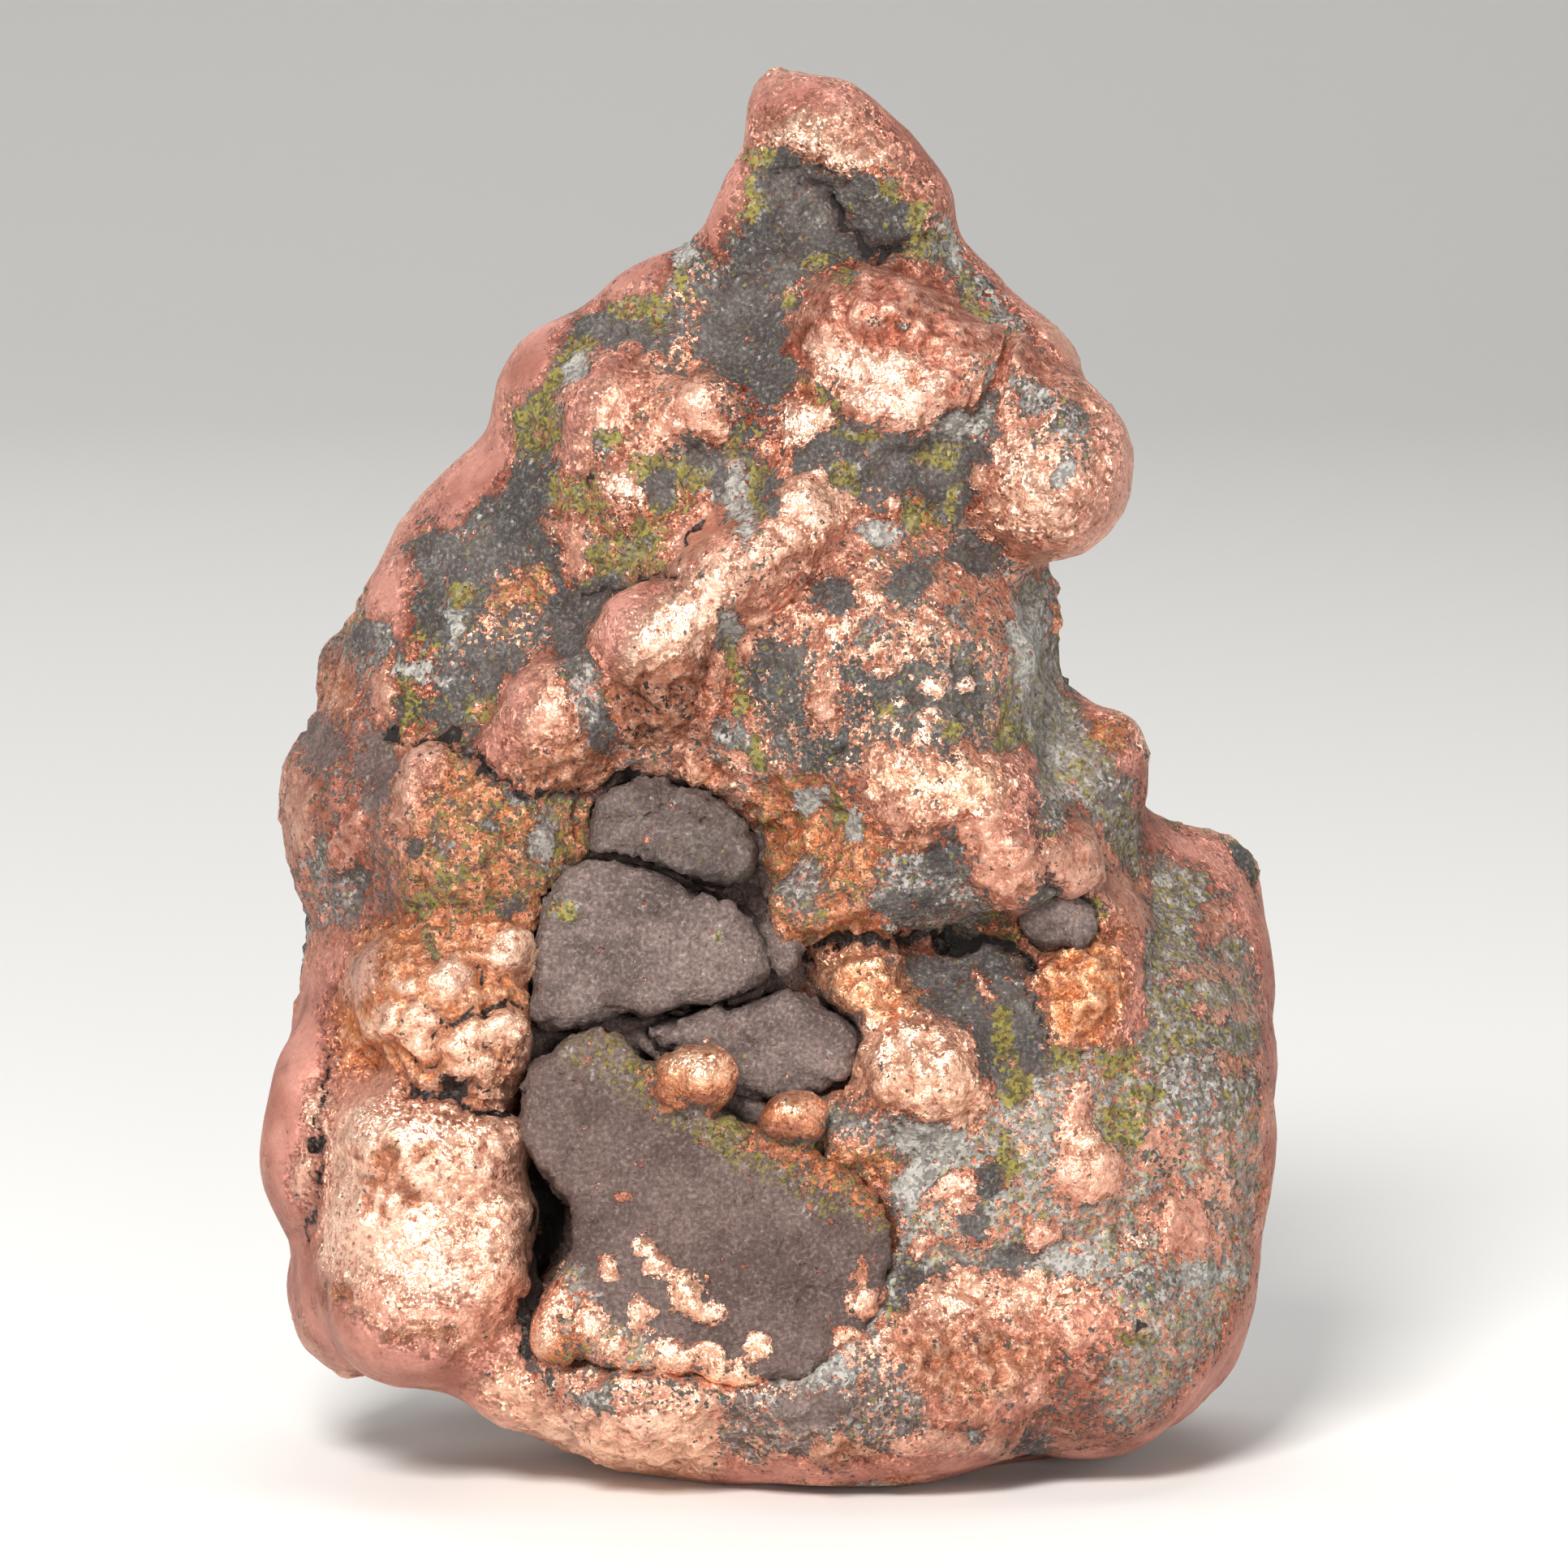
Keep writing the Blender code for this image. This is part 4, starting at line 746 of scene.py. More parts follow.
LOW_SPOTS = {
    # Each bead: a painted highlight on its top, and painted shade on its underside.
    "ledge_bead": ("bead", 858, 1320, 46, 33, 10, 0.25),
    "ledge_bead_top": ("bead_top", 861, 1314, 34, 22, 10, 0.12),
    "ledge_bead_b": ("ruddy", 878, 1356, 26, 8, 10, 0.15),
    "ledge_bead_c": ("bead", 978, 1370, 34, 24, 5, 0.25),
    "ledge_bead_top_c": ("bead_top", 991, 1366, 22, 17, 5, 0.1),
    "ledge_bead_d": ("ruddy", 972, 1394, 24, 8, 10, 0.12),
    "ledge_olive_a": ("olive", 790, 1332, 26, 15, 40, 0.0),
    "ledge_olive_b": ("olive", 896, 1396, 30, 16, 25, 0.0),
    "ledge_olive_c": ("olive", 736, 1262, 26, 9, 25, 0.0),
    "ledge_ruddy": ("ruddy", 812, 1345, 26, 10, 30, 0.0),
    "ledge_ruddy_b": ("ruddy", 960, 1420, 40, 9, 20, 0.0),
    # Copper flecks, some with a painted highlight on top.
    "flat_fleck_a": ("bead_top", 788, 1535, 11, 13, 20, 0.18),
    "flat_fleck_b": ("fleck", 810, 1560, 17, 20, -25, 0.18),
    "flat_fleck_c": ("bead_top", 846, 1596, 22, 26, -20, 0.22),
    "flat_fleck_d": ("fleck", 868, 1618, 20, 14, 0, 0.18),
    "flat_fleck_e": ("fleck", 750, 1565, 11, 13, 0, 0.15),
    "flat_fleck_f": ("fleck", 688, 1603, 16, 18, 20, 0.15),
    "flat_fleck_g": ("fleck", 724, 1626, 20, 17, 0, 0.15),
    "flat_fleck_h": ("fleck", 790, 1620, 20, 26, -30, 0.18),
    "flat_fleck_i": ("crust", 694, 1667, 30, 28, 0, 0.15),
    "flat_fleck_j": ("fleck", 830, 1681, 20, 34, -20, 0.2),
    "flat_fleck_k": ("bead_top", 905, 1706, 50, 24, 15, 0.22),
    "flat_fleck_l": ("fleck", 796, 1720, 15, 16, 0, 0.15),
    "flat_fleck_m": ("bead_top", 935, 1662, 18, 16, 0, 0.2),
    "flat_fleck_n": ("ruddy", 770, 1480, 8, 8, 0, 0.1),
    "flat_fleck_o": ("ruddy", 1062, 1560, 12, 18, 0, 0.1),
    "flat_fleck_p": ("fleck", 1060, 1600, 18, 20, 0, 0.15),
    "flat_fleck_q": ("fleck", 1046, 1660, 18, 24, 0, 0.15),
    "flat_fleck_r": ("bead_top", 852, 1600, 10, 10, 0, 0.1),
    "flat_fleck_s": ("fleck", 668, 1640, 16, 22, 0, 0.15),
    "flat_fleck_t": ("fleck", 756, 1668, 16, 14, 0, 0.15),
    "flat_fleck_u": ("fleck", 870, 1668, 20, 12, 10, 0.15),
    "flat_fleck_v": ("stained", 735, 1690, 22, 18, 0, 0.0),
}

LOW_CRACKS = {
    "low_chip_a": (3, 0.1, (668, 1310), (700, 1326), (722, 1356)),
    "low_chip_b": (3, 0.08, (860, 1440), (896, 1462), (912, 1492)),
}

SLAB_CRACKS = {
    "slab_layer_a": (4, 0.18, (742, 1010), (778, 1004), (812, 992), (848, 1000), (880, 1016), (918, 1030)),
    "slab_layer_b": (3, 0.14, (748, 1034), (790, 1030), (830, 1038), (862, 1056), (900, 1062)),
    "slab_layer_c": (3, 0.14, (840, 968), (856, 984), (886, 996)),
}

MIDDLE_SPOTS = {
    "middle_olive": ("olive", 695, 1128, 15, 14, 0, 0.0),
    "middle_teal": ("grey_green", 885, 1150, 10, 14, 0, 0.0),
}
MIDDLE_CRACKS = {
    "middle_chip": (4, 0.16, (742, 1232), (768, 1244), (790, 1262), (800, 1296)),
    "middle_corner": (3, 0.12, (872, 1100), (884, 1120), (906, 1134)),
}

RIGHT_SPOTS = {"right_speck": ("chalk", 840, 1240, 8, 5, 0, 0.0)}
RIGHT_CRACKS = {"right_chip": (3, 0.12, (880, 1262), (912, 1276), (936, 1302))}

CHIP_SPOTS = {"chip_speck": ("chalk", 905, 1228, 11, 9, 0, 0.0)}

SLAB_PATCHES = {"slab_face": ("slab_grey", (700, 920), (980, 920), (980, 1130), (700, 1100))}

ROCK_MARKS = {
    "pocket_slab": (SLAB_PATCHES, {}, SLAB_CRACKS),
    "pocket_block_middle": ({}, MIDDLE_SPOTS, MIDDLE_CRACKS),
    "pocket_block_right": ({}, RIGHT_SPOTS, RIGHT_CRACKS),
    "pocket_block_low": (LOW_PATCHES, LOW_SPOTS, LOW_CRACKS),
    "pocket_chip": ({}, CHIP_SPOTS, {}),
    "rim_pebble": ({}, {}, {}),
}


# ---- Shapes -------------------------------------------------------------------------------------------

def refined(node, name, grid, passes):
    """A closed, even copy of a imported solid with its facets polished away."""
    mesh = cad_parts[node].data.copy()
    mesh.materials.clear()
    shape = bmesh.new()
    shape.from_mesh(mesh)
    bmesh.ops.remove_doubles(shape, verts=shape.verts, dist=WELD * MM)
    shape.to_mesh(mesh)
    shape.free()
    piece = bpy.data.objects.new(name, mesh)
    bpy.context.scene.collection.objects.link(piece)
    remesh = piece.modifiers.new("grid", "REMESH")
    remesh.mode = "VOXEL"
    remesh.voxel_size = grid * MM
    polish = piece.modifiers.new("polish", "SMOOTH")
    polish.iterations = passes
    bpy.context.view_layer.update()
    baked = bpy.data.meshes.new_from_object(piece.evaluated_get(bpy.context.evaluated_depsgraph_get()))
    piece.modifiers.clear()
    piece.data = baked
    bpy.data.meshes.remove(mesh)
    baked.name = name
    return piece


def refine_front(piece):
    """Halves the mesh's grid where it faces the eye, but not on smooth rims or behind the pocket's blocks."""
    middles = np.empty(len(piece.data.polygons) * 3)
    piece.data.polygons.foreach_get("center", middles)
    across, down = face_places(middles.reshape(-1, 3))
    plain = np.zeros(len(across), bool)
    for name, (kind, *points) in PATCHES.items():
        if kind == "rim" or name == "pocket_bed":
            plain |= outline_depth(points, across, down) > PLAIN_INSET
    shape = bmesh.new()
    shape.from_mesh(piece.data)
    facing = [face for face in shape.faces if face.normal.dot(TO_EYE) > FINE_FACING]
    front = [face for face in facing if not plain[face.index]]
    edges = list({edge for face in front for edge in face.edges})
    bmesh.ops.subdivide_edges(shape, edges=edges, cuts=1, use_grid_fill=True)
    every_way = {"use_axis_x": True, "use_axis_y": True, "use_axis_z": True}
    for _ in range(SOFTENING_PASSES):
        bmesh.ops.smooth_vert(shape, verts=shape.verts, factor=SOFTENING, **every_way)
    shape.to_mesh(piece.data)
    shape.free()


def corners(piece):
    """The places of a piece's vertices, in metres."""
    out = np.empty(len(piece.data.vertices) * 3)
    piece.data.vertices.foreach_get("co", out)
    return out.reshape(-1, 3)


def outward(piece):
    """The direction out of the surface at each vertex."""
    out = np.empty(len(piece.data.vertices) * 3)
    piece.data.vertex_normals.foreach_get("vector", out)
    return out.reshape(-1, 3)


def relief_of(piece, spots, normals, passes):
    """How far each vertex stands out from its surroundings, in mm: lumps above 0, hollows below."""
    pairs = np.empty(len(piece.data.edges) * 2, np.int64)
    piece.data.edges.foreach_get("vertices", pairs)
    ends = np.concatenate([pairs[0::2], pairs[1::2]])
    others = np.concatenate([pairs[1::2], pairs[0::2]])
    count = np.bincount(ends, minlength=len(spots))
    flat = spots.copy()
    for _ in range(passes):
        for axis in range(3):
            flat[:, axis] = np.bincount(ends, flat[others, axis], len(spots)) / count
    return np.einsum("ij,ij->i", spots - flat, normals) / MM


def ripple(spots, pitch, shift=0.0):
    """Smooth noise at each place, about -1 to 1, with swells that many mm apart."""
    scaled = (spots / (pitch * MM) + shift).tolist()
    return np.array([noise.noise(place) for place in scaled])


def domes(spots, pitch, shift=0.0, grain_reach=0.75):
    """Rounded grains packed side by side: 1 at the top of a grain, 0 between grains."""
    scaled = (spots / (pitch * MM) + shift).tolist()
    reach = np.array([noise.voronoi(place)[0][0] for place in scaled])
    return np.clip(1.0 - (reach / grain_reach) ** 2, 0.0, 1.0)


def chips(spots, pitch, shift=0.0, spread=7.3):
    """Flat faces that many mm across, each tilted its own way, about -1 to 1."""
    upright = Vector((0.5, 0.5, 0.5))
    out = []
    for place in (spots / (pitch * MM) + shift).tolist():
        middle = noise.voronoi(place)[1][0]
        lean = noise.cell_vector(middle * spread)
        out.append((Vector(place) - middle).dot(lean - upright))
    return np.array(out) * TILT_GAIN


def ease(value, low, high):
    """0 below low, 1 above high, and a smooth rise between them."""
    part = np.clip((value - low) / (high - low), 0.0, 1.0)
    return part * part * (3.0 - 2.0 * part)


# ---- Marks --------------------------------------------------------------------------------------------

def face_places(spots):
    """Where each place shows on the front face, in face steps across and down."""
    spread = FACE_STEPS * EYE_LENS / FILM
    from_eye = spots - np.array(EYE_TARGET + TO_EYE * EYE_DISTANCE)
    away = -(from_eye @ np.array(TO_EYE))
    across = FACE_STEPS / 2 + spread * from_eye[:, 0] / away
    down = FACE_STEPS / 2 - spread * (from_eye @ np.array(FACE_UP)) / away
    return across, down


def line_reach(ax, ay, bx, by, across, down):
    """The distance from each place to a straight line between two points, in steps."""
    ex, ey = bx - ax, by - ay
    length_squared = max(ex * ex + ey * ey, VANISHING)
    along = np.clip(((across - ax) * ex + (down - ay) * ey) / length_squared, 0.0, 1.0)
    return np.hypot(across - ax - along * ex, down - ay - along * ey)


def outline_depth(points, across, down):
    """How far inside an outline each place is, in steps; negative outside it."""
    nearest = np.full(across.shape, ENDLESS)
    inside = np.zeros(across.shape, bool)
    for (ax, ay), (bx, by) in zip(points, points[1:] + points[:1]):
        nearest = np.minimum(nearest, line_reach(ax, ay, bx, by, across, down))
        passes = (ay > down) != (by > down)
        slope = (bx - ax) / (by - ay) if by != ay else 0.0
        inside ^= passes & (across < ax + (down - ay) * slope)
    return np.where(inside, nearest, -nearest)


def spot_depth(across, down, middle, half, lean):
    """How far inside a leaning oval each place is, from 1 in its middle to 0 at its edge."""
    turn = math.radians(lean)
    dx, dy = across - middle[0], down - middle[1]
    u = (dx * math.cos(turn) + dy * math.sin(turn)) / half[0]
    v = (dy * math.cos(turn) - dx * math.sin(turn)) / half[1]
    return 1.0 - np.hypot(u, v)


def lay(traits, kind, cover):
    """Changes the traits towards a kind of mark, as far as it covers each place.

    Dirt and painted shade only get darker, but a kind with a dirt of 0 clears both off.
    """
    for trait, value in KINDS[kind].items():
        if trait == "dirt" and value > 0.0:
            traits[trait] = np.maximum(traits[trait], value * cover)
        else:
            traits[trait] += (value - traits[trait]) * cover


def mark(traits, spots, normals, patches, round_spots, cracks, swells):
    """Lays the marks of the front face on a piece, and returns how far each place rises, in mm."""
    across, down = face_places(spots)
    across = across + EDGE_WANDER * ripple(spots, WANDER_PITCH, shift=7.0)
    across = across + EDGE_FRAY * ripple(spots, FRAY_PITCH, shift=3.0)
    down = down + EDGE_WANDER * ripple(spots, WANDER_PITCH, shift=19.0)
    down = down + EDGE_FRAY * ripple(spots, FRAY_PITCH, shift=31.0)
    front = ease(normals @ np.array(TO_EYE), *FRONT_FADE)
    rise = np.zeros(len(spots))
    for kind, *points in patches.values():
        edge = PIT_EDGE if kind == "pit" else PATCH_EDGE
        sides = np.array(points)
        low, high = sides.min(axis=0) - 2 * edge, sides.max(axis=0) + 2 * edge
        near = np.flatnonzero((across > low[0]) & (across < high[0]) & (down > low[1]) & (down < high[1]))
        depth = outline_depth(points, across[near], down[near])
        cover = np.zeros(len(spots))
        if kind == "pit":
            cover[near] = np.clip(PIT_AT_EDGE + depth / PIT_FADE, 0.0, 1.0)
        else:
            cover[near] = ease(depth, -edge, edge)
        lay(traits, kind, cover * front)
    for kind, x, y, wide, tall, lean, lift in round_spots.values():
        depth = spot_depth(across, down, (x, y), (wide, tall), lean)
        lay(traits, kind, ease(depth, *SPOT_FADE) * front)
        rise += lift * np.sqrt(np.clip(depth * DOME_STEEPNESS + DOME_FOOT, 0.0, 1.0)) * front
    for x, y, wide, tall, lean, lift in swells.values():
        depth = spot_depth(across, down, (x, y), (wide, tall), lean)
        rise += lift * ease(depth, *SWELL_FADE) * front
    for wide, deep, *points in cracks.values():
        reach = np.full(len(spots), ENDLESS)
        for (ax, ay), (bx, by) in zip(points, points[1:]):
            reach = np.minimum(reach, line_reach(ax, ay, bx, by, across, down))
        rise -= deep * np.exp(-((reach / wide) ** 2)) * front
        # Painted shade along each crack, darkest in its middle.
        middle_dirt = min(1.0, CRACK_SHADE + deep)
        traits["dirt"] = np.maximum(traits["dirt"], (middle_dirt - CRACK_SHADE_FADE * reach / wide) * front)
    return rise


def bare(count, **values):
    """The same traits all over a piece, 0 where none is given."""
    return {trait: np.full(count, values.get(trait, 0.0)) for trait in TRAITS}


def wild_mixture(spots, relief):
    """The traits of an unmarked stretch: copper on the lumps, rock in the hollows, stains where they meet."""
    lobes = ripple(spots, pitch=6.5, shift=2.0)
    knots = ripple(spots, pitch=3.0, shift=5.0)
    field = lobes + 0.5 * knots + 0.9 * relief
    copper = ease(field, -0.32, 0.1)
    fringe = ease(field, -0.5, -0.2) * (1.0 - ease(field, -0.05, 0.25))
    vein = ease(ripple(spots, pitch=4.5, shift=11.0), 0.1, 0.35)
    broken = ease(ripple(spots, pitch=5.0, shift=71.0), -0.05, 0.25)
    crusted = ease(ripple(spots, pitch=5.5, shift=81.0), 0.0, 0.3)
    traits = bare(len(spots))
    traits["copper"] = 0.04 + 0.92 * copper * (1.0 - 0.42 * broken)
    traits["olive"] = 0.08 + 0.5 * fringe * (1.0 - vein) + 0.12 * broken
    traits["chalk"] = 0.12 + 0.6 * fringe * vein + 0.2 * broken
    traits["rust"] = 0.35 + 0.4 * ease(-relief, -0.05, 0.35)
    traits["rim"] = 0.6 * ease(relief, -0.12, 0.1) * copper * (1.0 - broken) * (1.0 - 0.8 * crusted)
    # Painted highlight on the tops of the lumps.
    traits["glow"] = 0.7 * ease(relief, 0.05, 0.4) * (1.0 - 0.4 * crusted)
    traits["gold"] = 0.15 + 0.6 * crusted
    traits["crumb"] = 0.35 + 0.25 * fringe + 0.2 * broken + 0.45 * crusted
    traits["brown"] = 0.25 * ease(ripple(spots, pitch=8.0, shift=23.0), 0.0, 0.3)
    return traits


def shape_surface(piece, spots, normals, traits, rise, growth=0.0):
    """Moves the vertices out and in: swells, packed crystals, rough rock and the marks' own relief."""
    calm = 1.0 - RIM_CALM * traits["rim"]
    copper = traits["copper"]
    crumb = traits["crumb"] * calm
    grains = domes(spots, pitch=0.95, shift=4.0) - 0.55
    crystals = 0.22 * chips(spots, pitch=1.3, shift=51.0)
    crystals += 0.2 * chips(spots, pitch=0.62, shift=53.0)
    broken = ripple(spots, pitch=1.3, shift=41.0)
    broken += 0.7 * ripple(spots, pitch=0.66, shift=43.0)
    holes = ease(ripple(spots, pitch=0.8, shift=61.0), 0.2, 0.45)
    rough = 1.0 - np.abs(ripple(spots, pitch=1.1, shift=13.0)) * 3.0
    move = growth + rise + 0.09 * calm * ripple(spots, pitch=2.1, shift=17.0)
    move += crumb * (0.12 * grains + crystals + 0.3 * broken - 0.3 * holes)
    coarse_chips = chips(spots, pitch=1.7, shift=27.0)
    fine_chips = chips(spots, pitch=0.8, shift=33.0)
    move += (1.0 - copper) * (0.05 * rough + 0.32 * coarse_chips + 0.22 * fine_chips)
    move += 0.1 * copper
    foot = ease(spots[:, 2], 0.1 * MM, 1.2 * MM)
    moved = spots + normals * (move * MM * foot)[:, None]
    low, high = np.array(CAD_BOX[0]), np.array(CAD_BOX[1])
    piece.data.vertices.foreach_set("co", np.clip(moved, low, high).ravel())
    piece.data.update()


def paint_gap_shade_and_tip_highlights(piece, traits):
    """Painted shade in the fine gaps between grains, and painted highlights with a polish and less rust on
    their tips.
    """
    fine = relief_of(piece, corners(piece), outward(piece), GAP_PASSES)
    calm = 1.0 - RIM_CALM * traits["rim"]
    # Painted shade in the gaps.
    traits["dirt"] = np.maximum(traits["dirt"], 0.5 * calm * ease(-fine, 0.01, 0.09))
    # Painted highlight on the tips.
    traits["glow"] += 0.45 * calm * traits["copper"] * ease(fine, 0.01, 0.07)
    traits["rust"] *= 1.0 - 0.5 * ease(fine, 0.01, 0.07)


def keep_traits(piece, traits):
    """Keeps the traits on the mesh, for the finish to read."""
    for trait, values in traits.items():
        kept = piece.data.attributes.new(trait, "FLOAT", "POINT")
        kept.data.foreach_set("value", np.clip(values, 0.0, 1.0).astype(np.float32))


def dress_nugget(finish):
    """The nugget itself, with everything that shows on it."""
    piece = refined("copper_nugget", "nugget_skin", SKIN_GRID, POLISH_PASSES)
    refine_front(piece)
    spots, normals = corners(piece), outward(piece)
    relief = relief_of(piece, spots, normals, RELIEF_PASSES)
    traits = wild_mixture(spots, relief)
    rise = mark(traits, spots, normals, PATCHES, SPOTS, CRACKS, SWELLS)
    # Painted shade in the hollows between the lumps.
    traits["dirt"] = np.maximum(traits["dirt"], 0.62 * ease(-relief, 0.05, 0.9))
    shape_surface(piece, spots, normals, traits, rise)
    paint_gap_shade_and_tip_highlights(piece, traits)
    keep_traits(piece, traits)
    settle(piece, "copper_nugget", finish)


def dress_rock(node, finish):
    """One block of rock in the pocket, with the copper and stains that cross it."""
    piece = refined(node, node + "_skin", ROCK_GRID, ROCK_POLISH)
    spots, normals = corners(piece), outward(piece)
    relief = relief_of(piece, spots, normals, RELIEF_PASSES // 2)
    traits = bare(len(spots), copper=0.02, chalk=0.08, olive=0.02, brown=0.85, crumb=0.2)
    rise = mark(traits, spots, normals, *ROCK_MARKS[node], {})
    # Painted shade in the hollows of the rock.
    traits["dirt"] = np.maximum(traits["dirt"], 0.4 * ease(-relief, 0.1, 0.4))
    shape_surface(piece, spots, normals, traits, rise, ROCK_GROWTH)
    keep_traits(piece, traits)
    settle(piece, node, finish)


def settle(piece, node, finish):
    """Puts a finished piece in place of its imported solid."""
    piece.data.polygons.foreach_set("use_smooth", np.ones(len(piece.data.polygons), bool))
    piece.data.materials.append(finish)
    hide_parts(node)
    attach(piece, "root")


# ---- Finishes -----------------------------------------------------------------------------------------

class Value:
    """A number that changes over a surface. Arithmetic on it adds Math nodes."""

    def __init__(self, board, socket):
        self.board = board
        self.socket = socket

    def math(self, operation, first, second):
        node = self.board.add("ShaderNodeMath", {"operation": operation}, {0: first, 1: second})
        return Value(self.board, node.outputs[0])

    def __add__(self, other):
        return self.math("ADD", self, other)

    def __sub__(self, other):
        return self.math("SUBTRACT", self, other)

    def __rsub__(self, other):
        return self.math("SUBTRACT", other, self)

    def __mul__(self, other):
        return self.math("MULTIPLY", self, other)

    __radd__ = __add__
    __rmul__ = __mul__

    def above(self, low, high):
        """0 where this is below low, 1 where it is above high, smooth between."""
        node = self.board.add("ShaderNodeMapRange", {"interpolation_type": "SMOOTHSTEP"},
                              {"Value": self, "From Min": low, "From Max": high})
        return Value(self.board, node.outputs["Result"])


# The middle of a noise's colour.
MID_GREY = (0.5, 0.5, 0.5)


class Board:
    """The node board of one finish."""

    def __init__(self, name):
        self.material = bpy.data.materials.new(name)
        self.material.use_nodes = True
        self.tree = self.material.node_tree
        self.shader = self.tree.nodes["Principled BSDF"]
        self.place = self.add("ShaderNodeTexCoord", {}, {}).outputs["Object"]
        self.frayed = self.fray(0.16, 0.09)

    def add(self, kind, settings, sockets):
        """Adds a node: its settings first, then the values or links of its sockets."""
        node = self.tree.nodes.new(kind)
        for setting, value in settings.items():
            setattr(node, setting, value)
        for socket, value in sockets.items():
            self.feed(node.inputs[socket], value)
        return node

    def feed(self, socket, value):
        """Links a value or a colour to a socket, or sets a plain one on it."""
        if isinstance(value, Value):
            value = value.socket
        if isinstance(value, bpy.types.NodeSocket):
            self.tree.links.new(value, socket)
        else:
            socket.default_value = value

    def vector(self, operation, sockets):
        """A step of vector maths."""
        return self.add("ShaderNodeVectorMath", {"operation": operation}, sockets)

    def trait(self, name):
        """A trait kept on the mesh."""
        node = self.add("ShaderNodeAttribute", {"attribute_name": name}, {})
        return Value(self, node.outputs["Fac"])

    def clouds(self, pitch, detail, roughness=0.55):
        """Noise with swells that many mm apart, spread so that it fills 0 to 1."""
        sockets = {"Vector": self.place, "Scale": 1.0 / (pitch * MM)}
        node = self.add("ShaderNodeTexNoise", {}, sockets | {"Detail": detail, "Roughness": roughness})
        return (Value(self, node.outputs["Fac"]) - 0.5) * 2.6 + 0.5

    def fray(self, pitch, reach):
        """The place, pushed about by noise up to that many mm, so that grains aren't straight-sided."""
        sockets = {"Vector": self.place, "Scale": 1.0 / (pitch * MM), "Detail": 1.0}
        wander = self.add("ShaderNodeTexNoise", {}, sockets)
        centred = self.vector("SUBTRACT", {0: wander.outputs["Color"], 1: MID_GREY})
        scaled = self.vector("SCALE", {0: centred.outputs[0], "Scale": reach * 2 * MM})
        return self.vector("ADD", {0: self.place, 1: scaled.outputs[0]}).outputs[0]

    def cells(self, pitch):
        """Packed grains that many mm across: three numbers for each grain."""
        node = self.add("ShaderNodeTexVoronoi", {}, {"Vector": self.frayed, "Scale": 1.0 / (pitch * MM)})
        parts = self.add("ShaderNodeSeparateColor", {}, {0: node.outputs["Color"]})
        return [Value(self, number) for number in parts.outputs]

    def facets(self, pitch):
        """Crystal faces that many mm across, each tilted its own way: the height, and a number for each."""
        node = self.add("ShaderNodeTexVoronoi", {}, {"Vector": self.place, "Scale": 1.0 / (pitch * MM)})
        lean = self.vector("SUBTRACT", {0: node.outputs["Color"], 1: MID_GREY})
        inside = self.vector("SCALE", {0: self.place, "Scale": 1.0 / (pitch * MM)})
        offset = self.vector("SUBTRACT", {0: inside.outputs[0], 1: node.outputs["Position"]})
        tilt = self.vector("DOT_PRODUCT", {0: lean.outputs[0], 1: offset.outputs[0]})
        parts = self.add("ShaderNodeSeparateColor", {}, {0: node.outputs["Color"]})
        return Value(self, tilt.outputs["Value"]) * TILT_GAIN, Value(self, parts.outputs[0])

    def mix(self, part, first, second):
        """A colour between two others."""
        node = self.add("ShaderNodeMix", {"data_type": "RGBA"}, {0: part, 6: first, 7: second})
        return node.outputs[2]

    def shade(self, colour, amount):
        """A colour made darker or lighter by a value."""
        grey = self.add("ShaderNodeCombineColor", {}, {0: amount, 1: amount, 2: amount}).outputs[0]
        node = self.add("ShaderNodeMix", {"data_type": "RGBA", "blend_type": "MULTIPLY"},
                        {0: 1.0, 6: colour, 7: grey})
        return node.outputs[2]


def tint(red, green, blue):
    """A colour from screen numbers of 0 to 255, as the shader takes it."""
    parts = [level / 255.0 for level in (red, green, blue)]
    return tuple(((p + 0.055) / 1.055) ** 2.4 if p > 0.04045 else p / 12.92 for p in parts) + (1.0,)


# The colours of the copper, the rock, what grows on it and the studio's paper, and of the painted
# highlights, glints, shade and shadow.
COPPER_DEEP = tint(170, 97, 76)
COPPER_PALE = tint(208, 138, 116)
RUST = tint(112, 54, 32)
GOLD = tint(204, 124, 66)
# Colours of the painted highlight on copper.
HIGHLIGHT_PINK = tint(255, 212, 188)
HIGHLIGHT_GOLD = tint(255, 202, 164)
DUST_DEEP = tint(168, 110, 96)
DUST_PALE = tint(202, 144, 130)
DUST_PATCH = tint(146, 92, 80)
DARK_SPECK = tint(104, 52, 36)
# A painted glint.
PAINTED_GLINT = tint(250, 206, 178)
BASALT_DARK = tint(50, 48, 47)
BASALT_PALE = tint(74, 71, 69)
BASALT_SPECK = tint(118, 115, 111)
POCKET_DARK = tint(82, 67, 63)
POCKET_PALE = tint(110, 93, 88)
POCKET_SPECK = tint(144, 126, 119)
CALCITE_GREY = tint(118, 115, 110)
CALCITE_WHITE = tint(180, 176, 168)
EPIDOTE_DARK = tint(70, 64, 26)
EPIDOTE_PALE = tint(140, 128, 52)
# Brown for real dirt and stains and for painted shade.
DIRT_AND_SHADE_BROWN = tint(62, 34, 24)
# Painted black shadow in cracks and gaps.
GAP_SHADOW_BLACK = tint(14, 9, 7)
PAPER = tint(226, 226, 224)


